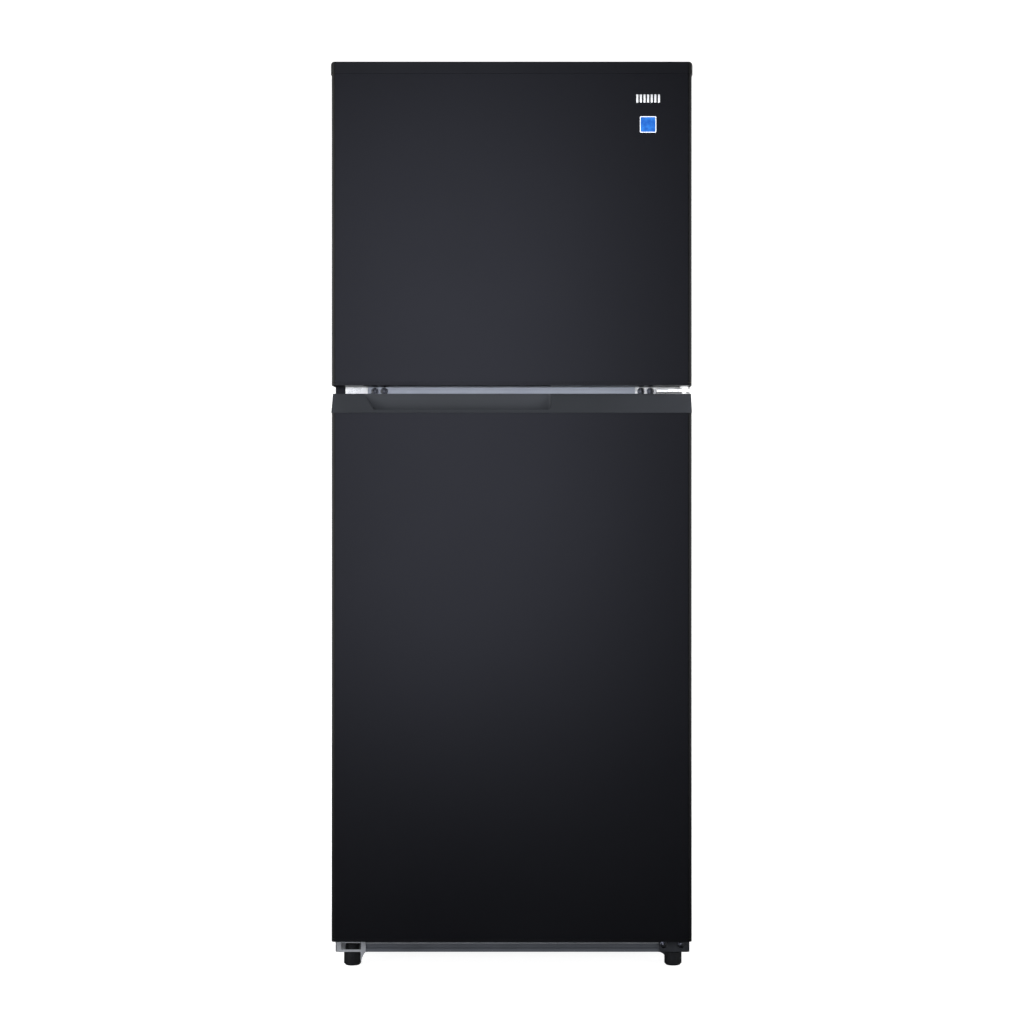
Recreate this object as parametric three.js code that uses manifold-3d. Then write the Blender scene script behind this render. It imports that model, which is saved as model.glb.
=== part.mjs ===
// Top freezer refrigerator, millimetres. Origin at the bottom centre of its box, +X to the viewer's
// right, -Y to the front, +Z up. Two doors hang on pins at the right.
import * as THREE from "three";
import { mergeVertices } from "three/addons/utils/BufferGeometryUtils.js";
import Module from "manifold-3d";

const wasm = await Module();
wasm.setup();

// ---------------------------------------------------------------- driving sizes
const width = 603; // over the top end cap
const height = 1520; // floor to the top of the freezer door
const depth = 670; // badge face to back panel

const fit = 0.3; // gap between parts that touch
const run = 0.4; // radial clearance of a pin in its bore
const sheet = 1; // cabinet sheet steel
const skin = 0.8; // door sheet steel
const plastic = 2.5; // moulded walls
const linerT = 1.5; // vacuum-formed liners

// ---------------------------------------------------------------- depth stations (Y)
const badge = 0.5;
const frontY = -depth / 2;
const faceY = frontY + badge + 0.1; // door faces
const rimY = faceY + 59.4; // back of both doors
const gasketT = 10;
const cabinetY = rimY + gasketT; // front edge of the cabinet
const backY = depth / 2;
const shellBackY = backY - sheet - fit;
const roomBackY = backY - 60; // rear wall of both compartments
const coldY = roomBackY - 80; // freezer air duct cover
const dykeY = rimY + 70; // how far the door liners reach in
const shelfY = cabinetY + 105; // front edge of every shelf
const machineY = backY - 217; // front wall of the machine compartment
const stepBackY = machineY - 43; // rear wall of the fridge below the step

// ---------------------------------------------------------------- half widths (X)
const half = width / 2;
const bodyHalf = half - 1.5; // skins and cabinet, inside the cap's lip
const roomHalf = bodyHalf - 45.5; // compartments
const flangeHalf = bodyHalf - 18; // inner edge of the cabinet's front flange
const gasketHalf = bodyHalf - 22.5;
const dykeHalf = roomHalf - 25;
const dykeW = 22;
const binHalf = dykeHalf - dykeW - 3;
const drawerHalf = roomHalf - 15;

// ---------------------------------------------------------------- heights (Z)
const railFoot = 25; // underside of the cabinet
const fridgeDoor = [56, height - 550.8];
const freezerDoor = [fridgeDoor[1] + 12.5, height];
const capH = 20; // top cap
const shoeH = 5; // bottom caps
const gripH = 33.2; // sloped grip on the fridge door
const cabinetTop = height - 22;
const railZ = (fridgeDoor[1] + freezerDoor[0]) / 2;
const railHalfH = 28;
const freezerRoom = [railZ + railHalfH + 4, cabinetTop - 48];
const fridgeRoom = [97, railZ - railHalfH - 4];
const panelZ = 56.3; // underside of the cabinet floor
const machineTop = 310;
const stepZ = machineTop + 45;
const roller = { x: half - 50, y: backY - 39, r: 20, w: 16, axle: 3 };
const trayZ = 2 * roller.r + 6; // compressor plate

const freezerShelfZ = freezerRoom[0] + 215;
const crisperTop = 300;
const shelfGap = (fridgeRoom[1] - crisperTop) / 3;
const shelfZs = [crisperTop + shelfGap, crisperTop + 2 * shelfGap];

// ---------------------------------------------------------------- hinge, grip, feet
const pin = { x: half - 13, y: rimY - 28, r: 4 };
const armHalf = 9;
const grip = { x: [-half + 52, 66], y: [faceY + 4.4, faceY + 27], deep: 20, back: 27, lean: 24 };
const foot = { x: half - 28.5, y: cabinetY + 20, r: 15 };
const can = { x: 115, y: (machineY + backY) / 2, r: 77, h: 172 }; // compressor
const fan = { z: freezerRoom[1] - 110, r: 50 };
const knob = { x: -70, z: fridgeRoom[1] - 21, r: 15 };

// ---------------------------------------------------------------- solids
const grow = ([a, b], d) => [a - d, b + d];
const both = (h) => [-h, h];

function solidOf(geometry) {
  geometry.deleteAttribute("normal");
  geometry.deleteAttribute("uv");
  const welded = mergeVertices(geometry, 1e-4);
  return new wasm.Manifold(
    new wasm.Mesh({
      numProp: 3,
      vertProperties: new Float32Array(welded.attributes.position.array),
      triVerts: new Uint32Array(welded.index.array),
    }),
  );
}

function geometryOf(solid) {
  const { vertProperties, triVerts } = solid.getMesh();
  const geometry = new THREE.BufferGeometry();
  geometry.setAttribute("position", new THREE.BufferAttribute(vertProperties, 3));
  geometry.setIndex(new THREE.BufferAttribute(triVerts, 1));
  const flat = geometry.toNonIndexed();
  flat.computeVertexNormals();
  return flat;
}

function block([x0, x1], [y0, y1], [z0, z1]) {
  const box = new THREE.BoxGeometry(x1 - x0, y1 - y0, z1 - z0);
  return solidOf(box.translate((x0 + x1) / 2, (y0 + y1) / 2, (z0 + z1) / 2));
}

// Outline of a rectangle, counter-clockwise from its low corner; one radius, or one for each corner.
function rect([u0, u1], [v0, v1], radius = 0, steps = 4) {
  const radii = Array.isArray(radius) ? radius : [radius, radius, radius, radius];
  const corners = [
    [u0, v0, 1, 1],
    [u1, v0, -1, 1],
    [u1, v1, -1, -1],
    [u0, v1, 1, -1],
  ];
  return corners.flatMap(([u, v, su, sv], i) => {
    const r = radii[i];
    if (!r) return [[u, v]];
    return Array.from({ length: steps + 1 }, (_, k) => {
      const a = Math.PI + ((i + k / steps) * Math.PI) / 2;
      return [u + su * r + r * Math.cos(a), v + sv * r + r * Math.sin(a)];
    });
  });
}

function circle([u, v], r, sides = 16) {
  return Array.from({ length: sides }, (_, i) => {
    const a = ((i + 0.5) * 2 * Math.PI) / sides;
    return [u + r * Math.cos(a), v + r * Math.sin(a)];
  });
}

// Outline pushed along an axis. Its two numbers are (y, z) for x, (x, z) for y and (x, y) for z.
function prism(outline, axis, [from, to]) {
  const shape = new THREE.Shape(outline.map(([u, v]) => new THREE.Vector2(u, v)));
  const push = new THREE.ExtrudeGeometry(shape, { depth: to - from, bevelEnabled: false });
  const [X, Y, Z] = [new THREE.Vector3(1, 0, 0), new THREE.Vector3(0, 1, 0), new THREE.Vector3(0, 0, 1)];
  const basis = { x: [Y, Z, X], y: [X, Z, Y.clone().negate()], z: [X, Y, Z] }[axis];
  push.translate(0, 0, axis === "y" ? -to : from);
  return solidOf(push.applyMatrix4(new THREE.Matrix4().makeBasis(...basis)));
}

const rod = (axis, centre, r, span, sides) => prism(circle(centre, r, sides), axis, span);

// Rectangular ring that faces front: outer half width and heights, band width, depth span.
function ring(halfX, spanZ, band, spanY, outer = 14, inner = 8) {
  const hole = prism(rect(both(halfX - band), grow(spanZ, -band), inner), "y", grow(spanY, 1));
  return prism(rect(both(halfX), spanZ, outer), "y", spanY).subtract(hole);
}

// Open-topped tray with walls of one thickness.
function tray(spanX, spanY, spanZ, wall, r = 6) {
  const inside = prism(
    rect(grow(spanX, -wall), grow(spanY, -wall), Math.max(r - wall, 1)),
    "z",
    [spanZ[0] + wall, spanZ[1] + 1],
  );
  return prism(rect(spanX, spanY, r), "z", spanZ).subtract(inside);
}

// Round bar along a list of points, one ring of facets at each point.
class Route extends THREE.Curve {
  constructor(points) {
    super();
    this.points = points;
  }
  getPoint(t) {
    return this.points[Math.round(t * (this.points.length - 1))].clone();
  }
  getPointAt(t) {
    return this.getPoint(t);
  }
  getTangentAt(t) {
    const i = Math.round(t * (this.points.length - 1));
    const next = this.points[Math.min(i + 1, this.points.length - 1)];
    const last = this.points[Math.max(i - 1, 0)];
    const ahead = next.clone().sub(this.points[i]).normalize();
    const behind = this.points[i].clone().sub(last).normalize();
    return ahead.add(behind).normalize();
  }
}

function pipe(points, r, sides = 8) {
  const shape = new THREE.Shape(circle([0, 0], r, sides).map(([u, v]) => new THREE.Vector2(u, v)));
  const path = new Route(points);
  const steps = points.length - 1;
  return solidOf(new THREE.ExtrudeGeometry(shape, { steps, extrudePath: path, bevelEnabled: false }));
}

// ---------------------------------------------------------------- cabinet
function cabinetShell() {
  const wrap = (h, top, r, spanY, low) =>
    prism(rect(both(h), [low, top], [0, 0, r, r]), "y", spanY);
  const body = wrap(bodyHalf, cabinetTop, 6, [cabinetY, shellBackY], railFoot);
  const inside = [cabinetY + sheet, shellBackY - sheet];
  return body
    .subtract(wrap(bodyHalf - sheet, cabinetTop - sheet, 5, inside, 0))
    .subtract(block(both(flangeHalf), [cabinetY - 1, cabinetY + 2], [0, cabinetTop - 18]))
    .subtract(block(both(bodyHalf - sheet), [cabinetY - 1, cabinetY + 2], [0, panelZ + 1]))
    .subtract(block(both(bodyHalf - 12), [shellBackY - 2, shellBackY + 1], [0, cabinetTop - 12]));
}

function cabinetBack() {
  const spanZ = [machineTop + 4, cabinetTop];
  const swageY = [backY - 0.4, backY + 1];
  const swage = (x) => prism(rect([x - 9, x + 9], grow(spanZ, -70), 8.9, 2), "y", swageY);
  const plate = prism(rect(both(bodyHalf), spanZ, [0, 0, 6, 6]), "y", [backY - sheet, backY]);
  return [-3, -2, -1, 0, 1, 2, 3].reduce((s, i) => s.subtract(swage((i * bodyHalf) / 4)), plate);
}

// Freezer compartment, or the space it leaves when grown by d.
function freezerSpace(d, frontY0) {
  return prism(rect(both(roomHalf + d), grow(freezerRoom, d), 12 + d), "y", [frontY0, roomBackY + d]);
}

function fridgeSpace(d, frontY0) {
  const low = rect(both(roomHalf + d), grow(fridgeRoom, d), 12 + d);
  const high = rect(both(roomHalf + d), [stepZ - d, fridgeRoom[1] + d], 12 + d);
  return prism(low, "y", [frontY0, stepBackY + d]).add(prism(high, "y", [frontY0, roomBackY + d]));
}

function foam() {
  const front = cabinetY + linerT + fit;
  const h = bodyHalf - sheet - fit;
  const backOfFoam = shellBackY - sheet - fit;
  const outline = rect(both(h), [panelZ + sheet + fit, cabinetTop - sheet - fit], [0, 0, 5, 5]);
  const gapIn = linerT + fit;
  return prism(outline, "y", [front, backOfFoam])
    .subtract(freezerSpace(gapIn, front - 1))
    .subtract(fridgeSpace(gapIn, front - 1))
    .subtract(block(both(h + 1), [machineY - sheet - fit, backY], [0, machineTop + sheet + fit]))
    .subtract(block(both(flangeHalf), [front - 1, cabinetY + 10 + fit], [railZ - 32, railZ + 32]));
}

function ledges(z, spanY) {
  const rib = rect(spanY, [z - 8, z - fit], 3);
  const right = [roomHalf - 7, roomHalf + 0.7];
  const left = [-roomHalf - 0.7, 7 - roomHalf];
  return prism(rib, "x", right).add(prism(rib, "x", left));
}

function freezerLiner() {
  const spanZ = [railZ + railHalfH + fit, cabinetTop - 18 - fit];
  const flange = block(both(flangeHalf - fit), [cabinetY, cabinetY + linerT], spanZ);
  return freezerSpace(linerT, cabinetY)
    .add(flange)
    .subtract(freezerSpace(0, cabinetY - 1))
    .add(ledges(freezerShelfZ, [shelfY, coldY - 4]));
}

function fridgeLiner() {
  const spanZ = [panelZ + sheet + fit, railZ - railHalfH - fit];
  const flange = block(both(flangeHalf - fit), [cabinetY, cabinetY + linerT], spanZ);
  return [...shelfZs, crisperTop].reduce(
    (s, z) => s.add(ledges(z, [shelfY, z === crisperTop ? stepBackY - 12 : roomBackY - 12])),
    fridgeSpace(linerT, cabinetY).add(flange).subtract(fridgeSpace(0, cabinetY - 1)),
  );
}

// Folded rail, open to the back, with a groove along its face.
function rail(halfX, spanZ, deep, groove, t = 1.2) {
  const open = block(both(halfX + 1), [cabinetY + t, cabinetY + deep + 1], grow(spanZ, -t));
  return block(both(halfX), [cabinetY, cabinetY + deep], spanZ)
    .subtract(open)
    .add(block(both(halfX), [cabinetY + 0.5, cabinetY + 2.5 + t], grow(groove, t)))
    .subtract(block(both(halfX + 1), [cabinetY - 1, cabinetY + 2.5], groove));
}

function bottomPanel() {
  const [a, b, c] = [cabinetY + 4, machineY, shellBackY - sheet - fit];
  const [floorZ, roofZ] = [panelZ + sheet, machineTop + sheet];
  const under = [[a, panelZ], [b, panelZ], [b, machineTop], [c, machineTop]];
  const over = [[c, roofZ], [b - sheet, roofZ], [b - sheet, floorZ], [a, floorZ]];
  const outline = [...under, ...over];
  return prism(outline, "x", both(bodyHalf - sheet - fit));
}

// Bracket behind each end of the base rail: front plate, threaded leaf, rear wall and a gusset
// that curves down beside the foot.
function footBracket(side) {
  const out = bodyHalf - sheet - fit;
  const inX = foot.x - foot.r - 9;
  const span = (a, b) => (side > 0 ? [a, b] : [-b, -a]);
  const plate = block(span(inX, out), [cabinetY, cabinetY + 2], [railFoot, panelZ - fit]);
  const window = block(span(inX + 8, out - 8), [cabinetY - 1, cabinetY + 3], [railFoot + 4, panelZ - 5]);
  const leaf = block(span(inX, out), [cabinetY + 1, foot.y + 18], [40, 43]);
  const wall = block(span(inX, out), [foot.y + 17, foot.y + 19], [railFoot - 8, panelZ - fit]);
  const drop = side > 0 ? 5 : 17;
  const curve = [[0, 1], [0, 0], [3, -0.2], [5.5, -0.5], [7.2, -0.8], [8.2, -1], [8.6, -1], [8.6, 1]];
  const gusset = curve.map(([x, z]) => [side * (inX + x), railFoot + Math.min(z, z * drop)]);
  return plate
    .subtract(window)
    .add(leaf)
    .add(wall)
    .add(prism(gusset, "y", [cabinetY, cabinetY + 2]))
    .subtract(rod("z", [side * foot.x, foot.y], 4 + run, [39, 44]));
}

// ---------------------------------------------------------------- hinges
function topHinge() {
  const base = [cabinetTop + fit, cabinetTop + fit + 3];
  const arm = [base[0] + 5.7, base[0] + 8.7];
  const plate = block([pin.x - 67, pin.x + armHalf], [cabinetY + 12, cabinetY + 85], base);
  const riser = block([pin.x - 30, pin.x + armHalf], [cabinetY + 12, cabinetY + 15], [base[0], arm[1]]);
  const reach = block([pin.x - armHalf, pin.x + armHalf], [pin.y, cabinetY + 15], arm);
  return plate
    .add(riser)
    .add(reach)
    .add(rod("z", [pin.x, pin.y], armHalf, arm, 20))
    .add(rod("z", [pin.x, pin.y], pin.r, [arm[0] - 21, arm[0] + 1]));
}

function topHingeCover() {
  const low = cabinetTop + fit;
  const outline = rect([pin.x - 72, bodyHalf - 1], [cabinetY + 3, cabinetY + 95], 6);
  const core = [pin.x - 69.5, pin.x + armHalf + fit];
  const inside = block(core, [cabinetY + 5.5, cabinetY + 92.5], [low - 1, height - 4.5]);
  const mouthX = [pin.x - armHalf - 2, pin.x + armHalf + 0.4];
  const mouth = block(mouthX, [cabinetY, cabinetY + 8], [low - 1, low + 11]);
  return prism(outline, "z", [low, height - 2]).subtract(inside).subtract(mouth);
}

function middleHinge() {
  const leaf = [railZ - 3.25, railZ + 0.75];
  const plateY = [cabinetY - 2.8, cabinetY - fit];
  const face = block([pin.x - 81, pin.x + 10], plateY, grow([railZ, railZ], 8));
  const reach = block([pin.x - 46, pin.x + armHalf], [pin.y, plateY[1]], leaf);
  const nose = block([pin.x - 28, pin.x], [pin.y - armHalf, pin.y + 2], leaf);
  return face
    .add(reach)
    .add(nose)
    .add(rod("z", [pin.x, pin.y], armHalf, leaf, 20))
    .add(rod("z", [pin.x, pin.y], 7, [leaf[1] - 1, freezerDoor[0] - 0.4], 20))
    .add(rod("z", [pin.x, pin.y], pin.r, grow(leaf, 20)));
}

function middleHingeBlank() {
  const plate = rect([-pin.x + 5.5, -pin.x + 43.5], grow([railZ, railZ], 8), 2.5);
  return prism(plate, "y", [cabinetY - 3.5, cabinetY - fit]);
}

function bottomHinge() {
  const leaf = [fridgeDoor[0] - 7.5, fridgeDoor[0] - 4.5];
  const plateY = [cabinetY - 2.8, cabinetY - fit];
  const face = block([pin.x - 40, pin.x + 10], plateY, [railFoot + 1, leaf[1]]);
  const reach = block([pin.x - 26, pin.x + armHalf], [pin.y, plateY[1]], leaf);
  return face
    .add(reach)
    .add(rod("z", [pin.x, pin.y], armHalf, leaf, 20))
    .add(rod("z", [pin.x, pin.y], 7, [leaf[1] - 1, fridgeDoor[0] - 0.4], 20))
    .add(rod("z", [pin.x, pin.y], pin.r, [leaf[1] - 1, leaf[1] + 19]));
}

// ---------------------------------------------------------------- feet and rollers
function levellingFoot(side) {
  const at = [side * foot.x, foot.y];
  const knurl = Array.from({ length: 48 }, (_, i) => {
    const a = (i * 2 * Math.PI) / 48;
    const r = foot.r - (i % 2 ? 0.8 : 0);
    return [at[0] + r * Math.cos(a), at[1] + r * Math.sin(a)];
  });
  return prism(knurl, "z", [2, 23.5])
    .add(rod("z", at, foot.r - 2.5, [0, 3], 24))
    .add(rod("z", at, 12, [23, 36], 24))
    .add(rod("z", at, 4, [35, 54]));
}

function rearRoller(side) {
  const spanX = grow([side * roller.x, side * roller.x], roller.w / 2);
  const at = [roller.y, roller.r];
  return rod("x", at, roller.r, spanX, 32)
    .subtract(rod("x", at, roller.r - 5, [spanX[0] - 1, spanX[0] + 3], 24))
    .subtract(rod("x", at, roller.r - 5, [spanX[1] - 3, spanX[1] + 1], 24))
    .add(rod("x", at, 7, spanX, 16))
    .subtract(rod("x", at, roller.axle + run, grow(spanX, 1), 16));
}

// ---------------------------------------------------------------- machine compartment
function compressorPlate() {
  const spanY = [machineY + 4, backY - 9];
  const h = bodyHalf - sheet - fit;
  const base = block(both(h), spanY, [trayZ, trayZ + 2]);
  const lips = block(both(h), [spanY[0], spanY[0] + 1.5], [trayZ, trayZ + 12]).add(
    block(both(h), [spanY[1] - 1.5, spanY[1]], [trayZ, trayZ + 12]),
  );
  const at = [roller.y, roller.r];
  const reach = roller.w / 2 + 3;
  const ears = [-1, 1].map((s) => {
    const earZ = [roller.r - 9, trayZ + 1];
    const ear = (x) => block([x - 1, x + 1], grow([roller.y, roller.y], 11), earZ);
    return ear(s * roller.x - reach)
      .add(ear(s * roller.x + reach))
      .add(rod("x", at, roller.axle, grow([s * roller.x, s * roller.x], reach + 2), 16));
  });
  return ears.reduce((s, ear) => s.add(ear), base.add(lips));
}

function compressor() {
  const low = trayZ + 2 + fit;
  const { x, y, r, h } = can;
  const profile = [
    [0, 14], [58, 14], [70, 22], [r - 2, 40], [r, 62], [r - 2, 66],
    [r - 2, 110], [r - 11, 146], [r - 33, h - 6], [0, h],
  ].map(([u, v]) => new THREE.Vector2(u, v));
  const lathe = new THREE.LatheGeometry(profile, 28).rotateX(Math.PI / 2).translate(x, y, low);
  const corners = [-1, 1].flatMap((i) => [-1, 1].map((j) => [x + i * 82, y + j * 48]));
  const grommets = corners.map((at) => rod("z", at, 11, [low, low + 12], 12));
  const cradle = block(grow([x, x], 94), grow([y, y], 58), [low + 11, low + 15]);
  const stub = (i) => rod("x", [y + i * 26, low + 90], 4, [x - 92, x - 50], 10);
  return [...grommets, cradle, stub(-1), stub(0), stub(1)].reduce((s, p) => s.add(p), solidOf(lathe));
}

function startRelay() {
  const x = can.x + can.r + 2;
  return prism(rect([x, x + 34], grow([can.y, can.y], 26), 5), "z", [trayZ + 78, trayZ + 128]);
}

function evaporationPan() {
  const low = trayZ + 2 + fit + can.h + fit;
  return tray(grow([can.x, can.x], 80), grow([can.y, can.y], 62), [low, low + 26], 2);
}

// Two layers of tube that run to and fro, the second above the first.
function condenserCoil() {
  const [x0, x1, y0, z0] = [-bodyHalf + 40, -15, machineY + 36, trayZ + 60];
  const [rows, pitch] = [5, 34];
  const y1 = y0 + (rows - 1) * pitch;
  const points = [];
  const bend = (x, out, centre, stepY, stepZ) => {
    for (let k = -2; k <= 2; k++) {
      const [c, s] = [(pitch / 2) * Math.cos((k * Math.PI) / 4), (pitch / 2) * Math.sin((k * Math.PI) / 4)];
      points.push(new THREE.Vector3(x + out * c, centre[0] + stepY * s, centre[1] + stepZ * s));
    }
  };
  const layer = (y, way, z, first) => {
    for (let i = 0; i < rows - 1; i++) {
      const right = i % 2 === first;
      bend(right ? x1 : x0, right ? 1 : -1, [y + way * (i + 0.5) * pitch, z], way, 0);
    }
  };
  points.push(new THREE.Vector3(x0, y0, z0));
  layer(y0, 1, z0, 0);
  bend(x1, 1, [y1, z0 + pitch / 2], 0, 1);
  layer(y1, -1, z0 + pitch, 1);
  points.push(new THREE.Vector3(x0, y0, z0 + pitch));
  return pipe(points, 3.5);
}

function compressorCover() {
  const spanZ = [trayZ + 16, machineTop - fit];
  const y = [shellBackY - 4.7, shellBackY - 3.7];
  const panel = block(both(bodyHalf - 12.3), y, spanZ);
  const slots = [-1, 1].flatMap((s) =>
    Array.from({ length: 9 }, (_, i) => {
      const z = spanZ[0] + 42 + i * 20;
      return prism(rect(grow([s * 125, s * 125], 75), [z, z + 8], 3.5, 1), "y", grow(y, 1));
    }),
  );
  const hole = rod("y", [-bodyHalf + 50, spanZ[0] + 22], 9, grow(y, 1), 20);
  return [...slots, hole].reduce((s, cut) => s.subtract(cut), panel);
}

function cordGland() {
  const at = [-bodyHalf + 50, trayZ + 38];
  const y = shellBackY - 4.7;
  return rod("y", at, 12, [y + 1 + fit, y + 5], 20)
    .add(rod("y", at, 9 - fit, [y - 8, y + 2], 20))
    .add(rod("y", at, 11, [y - 9, y - 2], 20))
    .subtract(rod("y", at, 4.5, [y - 10, y + 6], 16));
}

// ---------------------------------------------------------------- freezer air system
function evaporator() {
  const spanZ = [freezerRoom[0] + 28, freezerRoom[0] + 218];
  const spanY = [coldY + 14, roomBackY - 8];
  const fins = Array.from({ length: 15 }, (_, i) => {
    const x = (i - 7) * 28;
    return block([x - 0.6, x + 0.6], spanY, spanZ);
  });
  const bars = [0.2, 0.5, 0.8].map((v) => {
    const z = spanZ[0] + v * (spanZ[1] - spanZ[0]);
    return block(both(205), grow(spanY, -20), grow([z, z], 4));
  });
  return [...fins.slice(1), ...bars].reduce((s, p) => s.add(p), fins[0]);
}

function freezerDuctCover() {
  const y = [coldY, coldY + plastic];
  const panel = prism(rect(both(roomHalf - fit), grow(freezerRoom, -fit), 11), "y", y);
  const slot = (x, z, w, h) =>
    prism(rect(grow([x, x], w / 2), grow([z, z], h / 2), h / 2.1, 1), "y", grow(y, 1));
  const six = [-2.5, -1.5, -0.5, 0.5, 1.5, 2.5];
  const top = six.map((i) => slot(i * 70, freezerRoom[1] - 30, 46, 7));
  const base = six.map((i) => slot(i * 78, freezerRoom[0] + 14, 60, 11));
  const mesh = [-3, -2, -1, 0, 1, 2, 3].map((i) => slot(0, fan.z + i * 12, 96 - 5 * i * i, 6));
  const guide = slot(0, freezerShelfZ + 40, 64, 5);
  return [...top, ...base, ...mesh, guide].reduce((s, cut) => s.subtract(cut), panel);
}

function freezerAirSlider() {
  const z = freezerShelfZ + 40;
  return prism(rect(both(13), grow([z, z], 9), 3), "y", [coldY - 6, coldY - fit])
    .add(block(both(2.5), [coldY - 11, coldY - 5], grow([z, z], 7)))
    .add(block(both(6), [coldY - 1, coldY + plastic + 3], grow([z, z], 1.8)));
}

function fanMotor() {
  const low = roomBackY - 50;
  return rod("y", [0, fan.z], 27, [low, low + 32], 24)
    .add(block(both(75), [low + 28, low + 32], grow([fan.z, fan.z], 8)))
    .add(rod("y", [0, fan.z], 2.5, [low - 12, low + 1], 12));
}

function fanBlade() {
  const hubY = [coldY + 11, coldY + 27];
  const blade = (i) => {
    const plate = new THREE.BoxGeometry(22, 1.6, fan.r - 12).translate(0, 0, (fan.r - 12) / 2 + 10);
    plate.rotateZ(0.5).rotateY((i * 2 * Math.PI) / 5);
    return solidOf(plate.translate(0, (hubY[0] + hubY[1]) / 2, fan.z));
  };
  return [0, 1, 2, 3, 4]
    .reduce((s, i) => s.add(blade(i)), rod("y", [0, fan.z], 15, hubY, 24))
    .subtract(rod("y", [0, fan.z], 2.5 + run, grow(hubY, 1), 12));
}

// ---------------------------------------------------------------- fridge fittings
function fridgeDuctCover() {
  const spanZ = [stepZ + 20, fridgeRoom[1] - 52];
  const y = [roomBackY - 13, roomBackY - fit];
  const box = prism(rect(both(70), spanZ, 10), "y", y);
  const inside = prism(rect(both(68), grow(spanZ, -2), 8), "y", [y[0] + 2, y[1] + 1]);
  const slots = [0, 1, 2].flatMap((i) =>
    [-1, 1].map((s) => {
      const z = spanZ[0] + 70 + (i * (spanZ[1] - spanZ[0] - 140)) / 2;
      const outline = rect(grow([s * 35, s * 35], 20), grow([z, z], 5), 4.5, 1);
      return prism(outline, "y", [y[0] - 1, y[0] + 3]);
    }),
  );
  return slots.reduce((s, cut) => s.subtract(cut), box.subtract(inside));
}

const lens = { x: [12, 132], y: [cabinetY + 140, cabinetY + 270] };

function controlHousing() {
  const spanY = [cabinetY + 115, cabinetY + 325];
  const hole = block(lens.x, lens.y, [fridgeRoom[1] - 50, fridgeRoom[1] - 30]);
  return tray(both(150), spanY, [fridgeRoom[1] - 40, fridgeRoom[1] - fit], plastic, 14)
    .subtract(hole)
    .subtract(rod("y", [knob.x, knob.z], 4 + run, [spanY[0] - 1, spanY[0] + 4]));
}

function lampLens() {
  const z = fridgeRoom[1] - 43;
  return tray(grow(lens.x, -fit), grow(lens.y, -fit), [z, z + 10], 1.5, 3);
}

function thermostatKnob() {
  const y = cabinetY + 115;
  const at = [knob.x, knob.z];
  return rod("y", at, knob.r, [y - 9, y - fit], 28)
    .add(block(grow([at[0], at[0]], 2.5), [y - 14, y - 8], grow([at[1], at[1]], knob.r - 2)))
    .add(rod("y", at, 4, [y - 1, y + 12]));
}

const shelfHalf = roomHalf - 0.5;

function freezerShelf() {
  const z = [freezerShelfZ, freezerShelfZ + 4];
  const y = [shelfY, coldY - 5];
  const plate = prism(rect(both(shelfHalf), y, 8), "z", z);
  const lip = block(both(shelfHalf), [y[0], y[0] + 4], [z[0] - 10, z[1] + 3]);
  const trimmed = block(both(shelfHalf - 9), [y[0] - 1, y[0] + 5], [z[0] - 11, z[0]]);
  const under = block(grow(both(shelfHalf), 1), [y[0] - 1, y[0] + 5], [z[0] - 11, z[0]]);
  const sides = under.subtract(trimmed);
  return plate.add(lip.subtract(sides));
}

const glassShelf = (z) => block(both(shelfHalf), [shelfY + 8, roomBackY - 16], [z, z + 4]);

function shelfTrim(z) {
  const slot = block(both(shelfHalf + 1), [shelfY + 8 - fit, shelfY + 30], grow([z, z + 4], fit));
  const notchY = [shelfY - 1, shelfY + 30];
  const notch = (s) => block(grow([s * shelfHalf, s * shelfHalf], 9), notchY, [z - 11, z - 0.1]);
  return prism(rect([shelfY, shelfY + 18], [z - 5, z + 10], [5, 1, 1, 5]), "x", both(shelfHalf))
    .subtract(slot)
    .subtract(notch(1))
    .subtract(notch(-1));
}

function crisperCover() {
  const lip = block(both(roomHalf - 9), [shelfY, shelfY + 3], [crisperTop - 8, crisperTop + 3]);
  return block(both(shelfHalf), [shelfY, stepBackY - 1], [crisperTop, crisperTop + 4]).add(lip);
}

function crisperDrawer() {
  const spanZ = [fridgeRoom[0] + 3, crisperTop - 11];
  const spanY = [shelfY, stepBackY - 25];
  const scoop = prism(rect(both(60), [spanZ[1] - 24, spanZ[1] + 20], 10), "y", [shelfY - 1, shelfY + 5]);
  return tray(both(drawerHalf), spanY, spanZ, plastic, 10).subtract(scoop);
}

// ---------------------------------------------------------------- doors
const frontCorners = (r) => [r, r, 0, 0];
const plan = (h, y, r) => rect(both(h), y, frontCorners(r));

function doorSkin(spanZ) {
  const lapY = rimY - 2.5;
  return prism(plan(bodyHalf, [faceY, lapY], 7), "z", spanZ)
    .subtract(prism(plan(bodyHalf - skin, [faceY + skin, lapY - skin], 6.2), "z", grow(spanZ, 1)))
    .subtract(block(both(bodyHalf - 12), [lapY - 2, lapY + 1], grow(spanZ, 1)));
}

function doorLiner(spanZ, room) {
  const y0 = rimY - 2.2;
  const dyke = grow(room, -11);
  return block(both(bodyHalf - 6), [y0, rimY], spanZ)
    .add(ring(dykeHalf, dyke, dykeW, [y0, dykeY]))
    .subtract(
      ring(dykeHalf - linerT, grow(dyke, -linerT), dykeW - 2 * linerT, [y0 - 1, dykeY - linerT], 12.5, 9.5),
    );
}

function doorFoam(spanZ, room) {
  const y1 = rimY - 2.5 - skin - fit;
  const d = linerT + fit;
  return prism(plan(bodyHalf - skin - fit, [faceY + skin + fit, y1], 6), "z", spanZ).add(
    ring(dykeHalf - d, grow(room, -11 - d), dykeW - 2 * d, [y1 - 1, dykeY - d], 12.2, 9.8),
  );
}

function gasket(spanZ) {
  return ring(gasketHalf, spanZ, 16, [rimY + fit, cabinetY - fit], 6, 3).subtract(
    ring(gasketHalf + 1, grow(spanZ, 1), 4, [rimY + 3.5, rimY + 6], 7, 4),
  );
}

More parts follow.
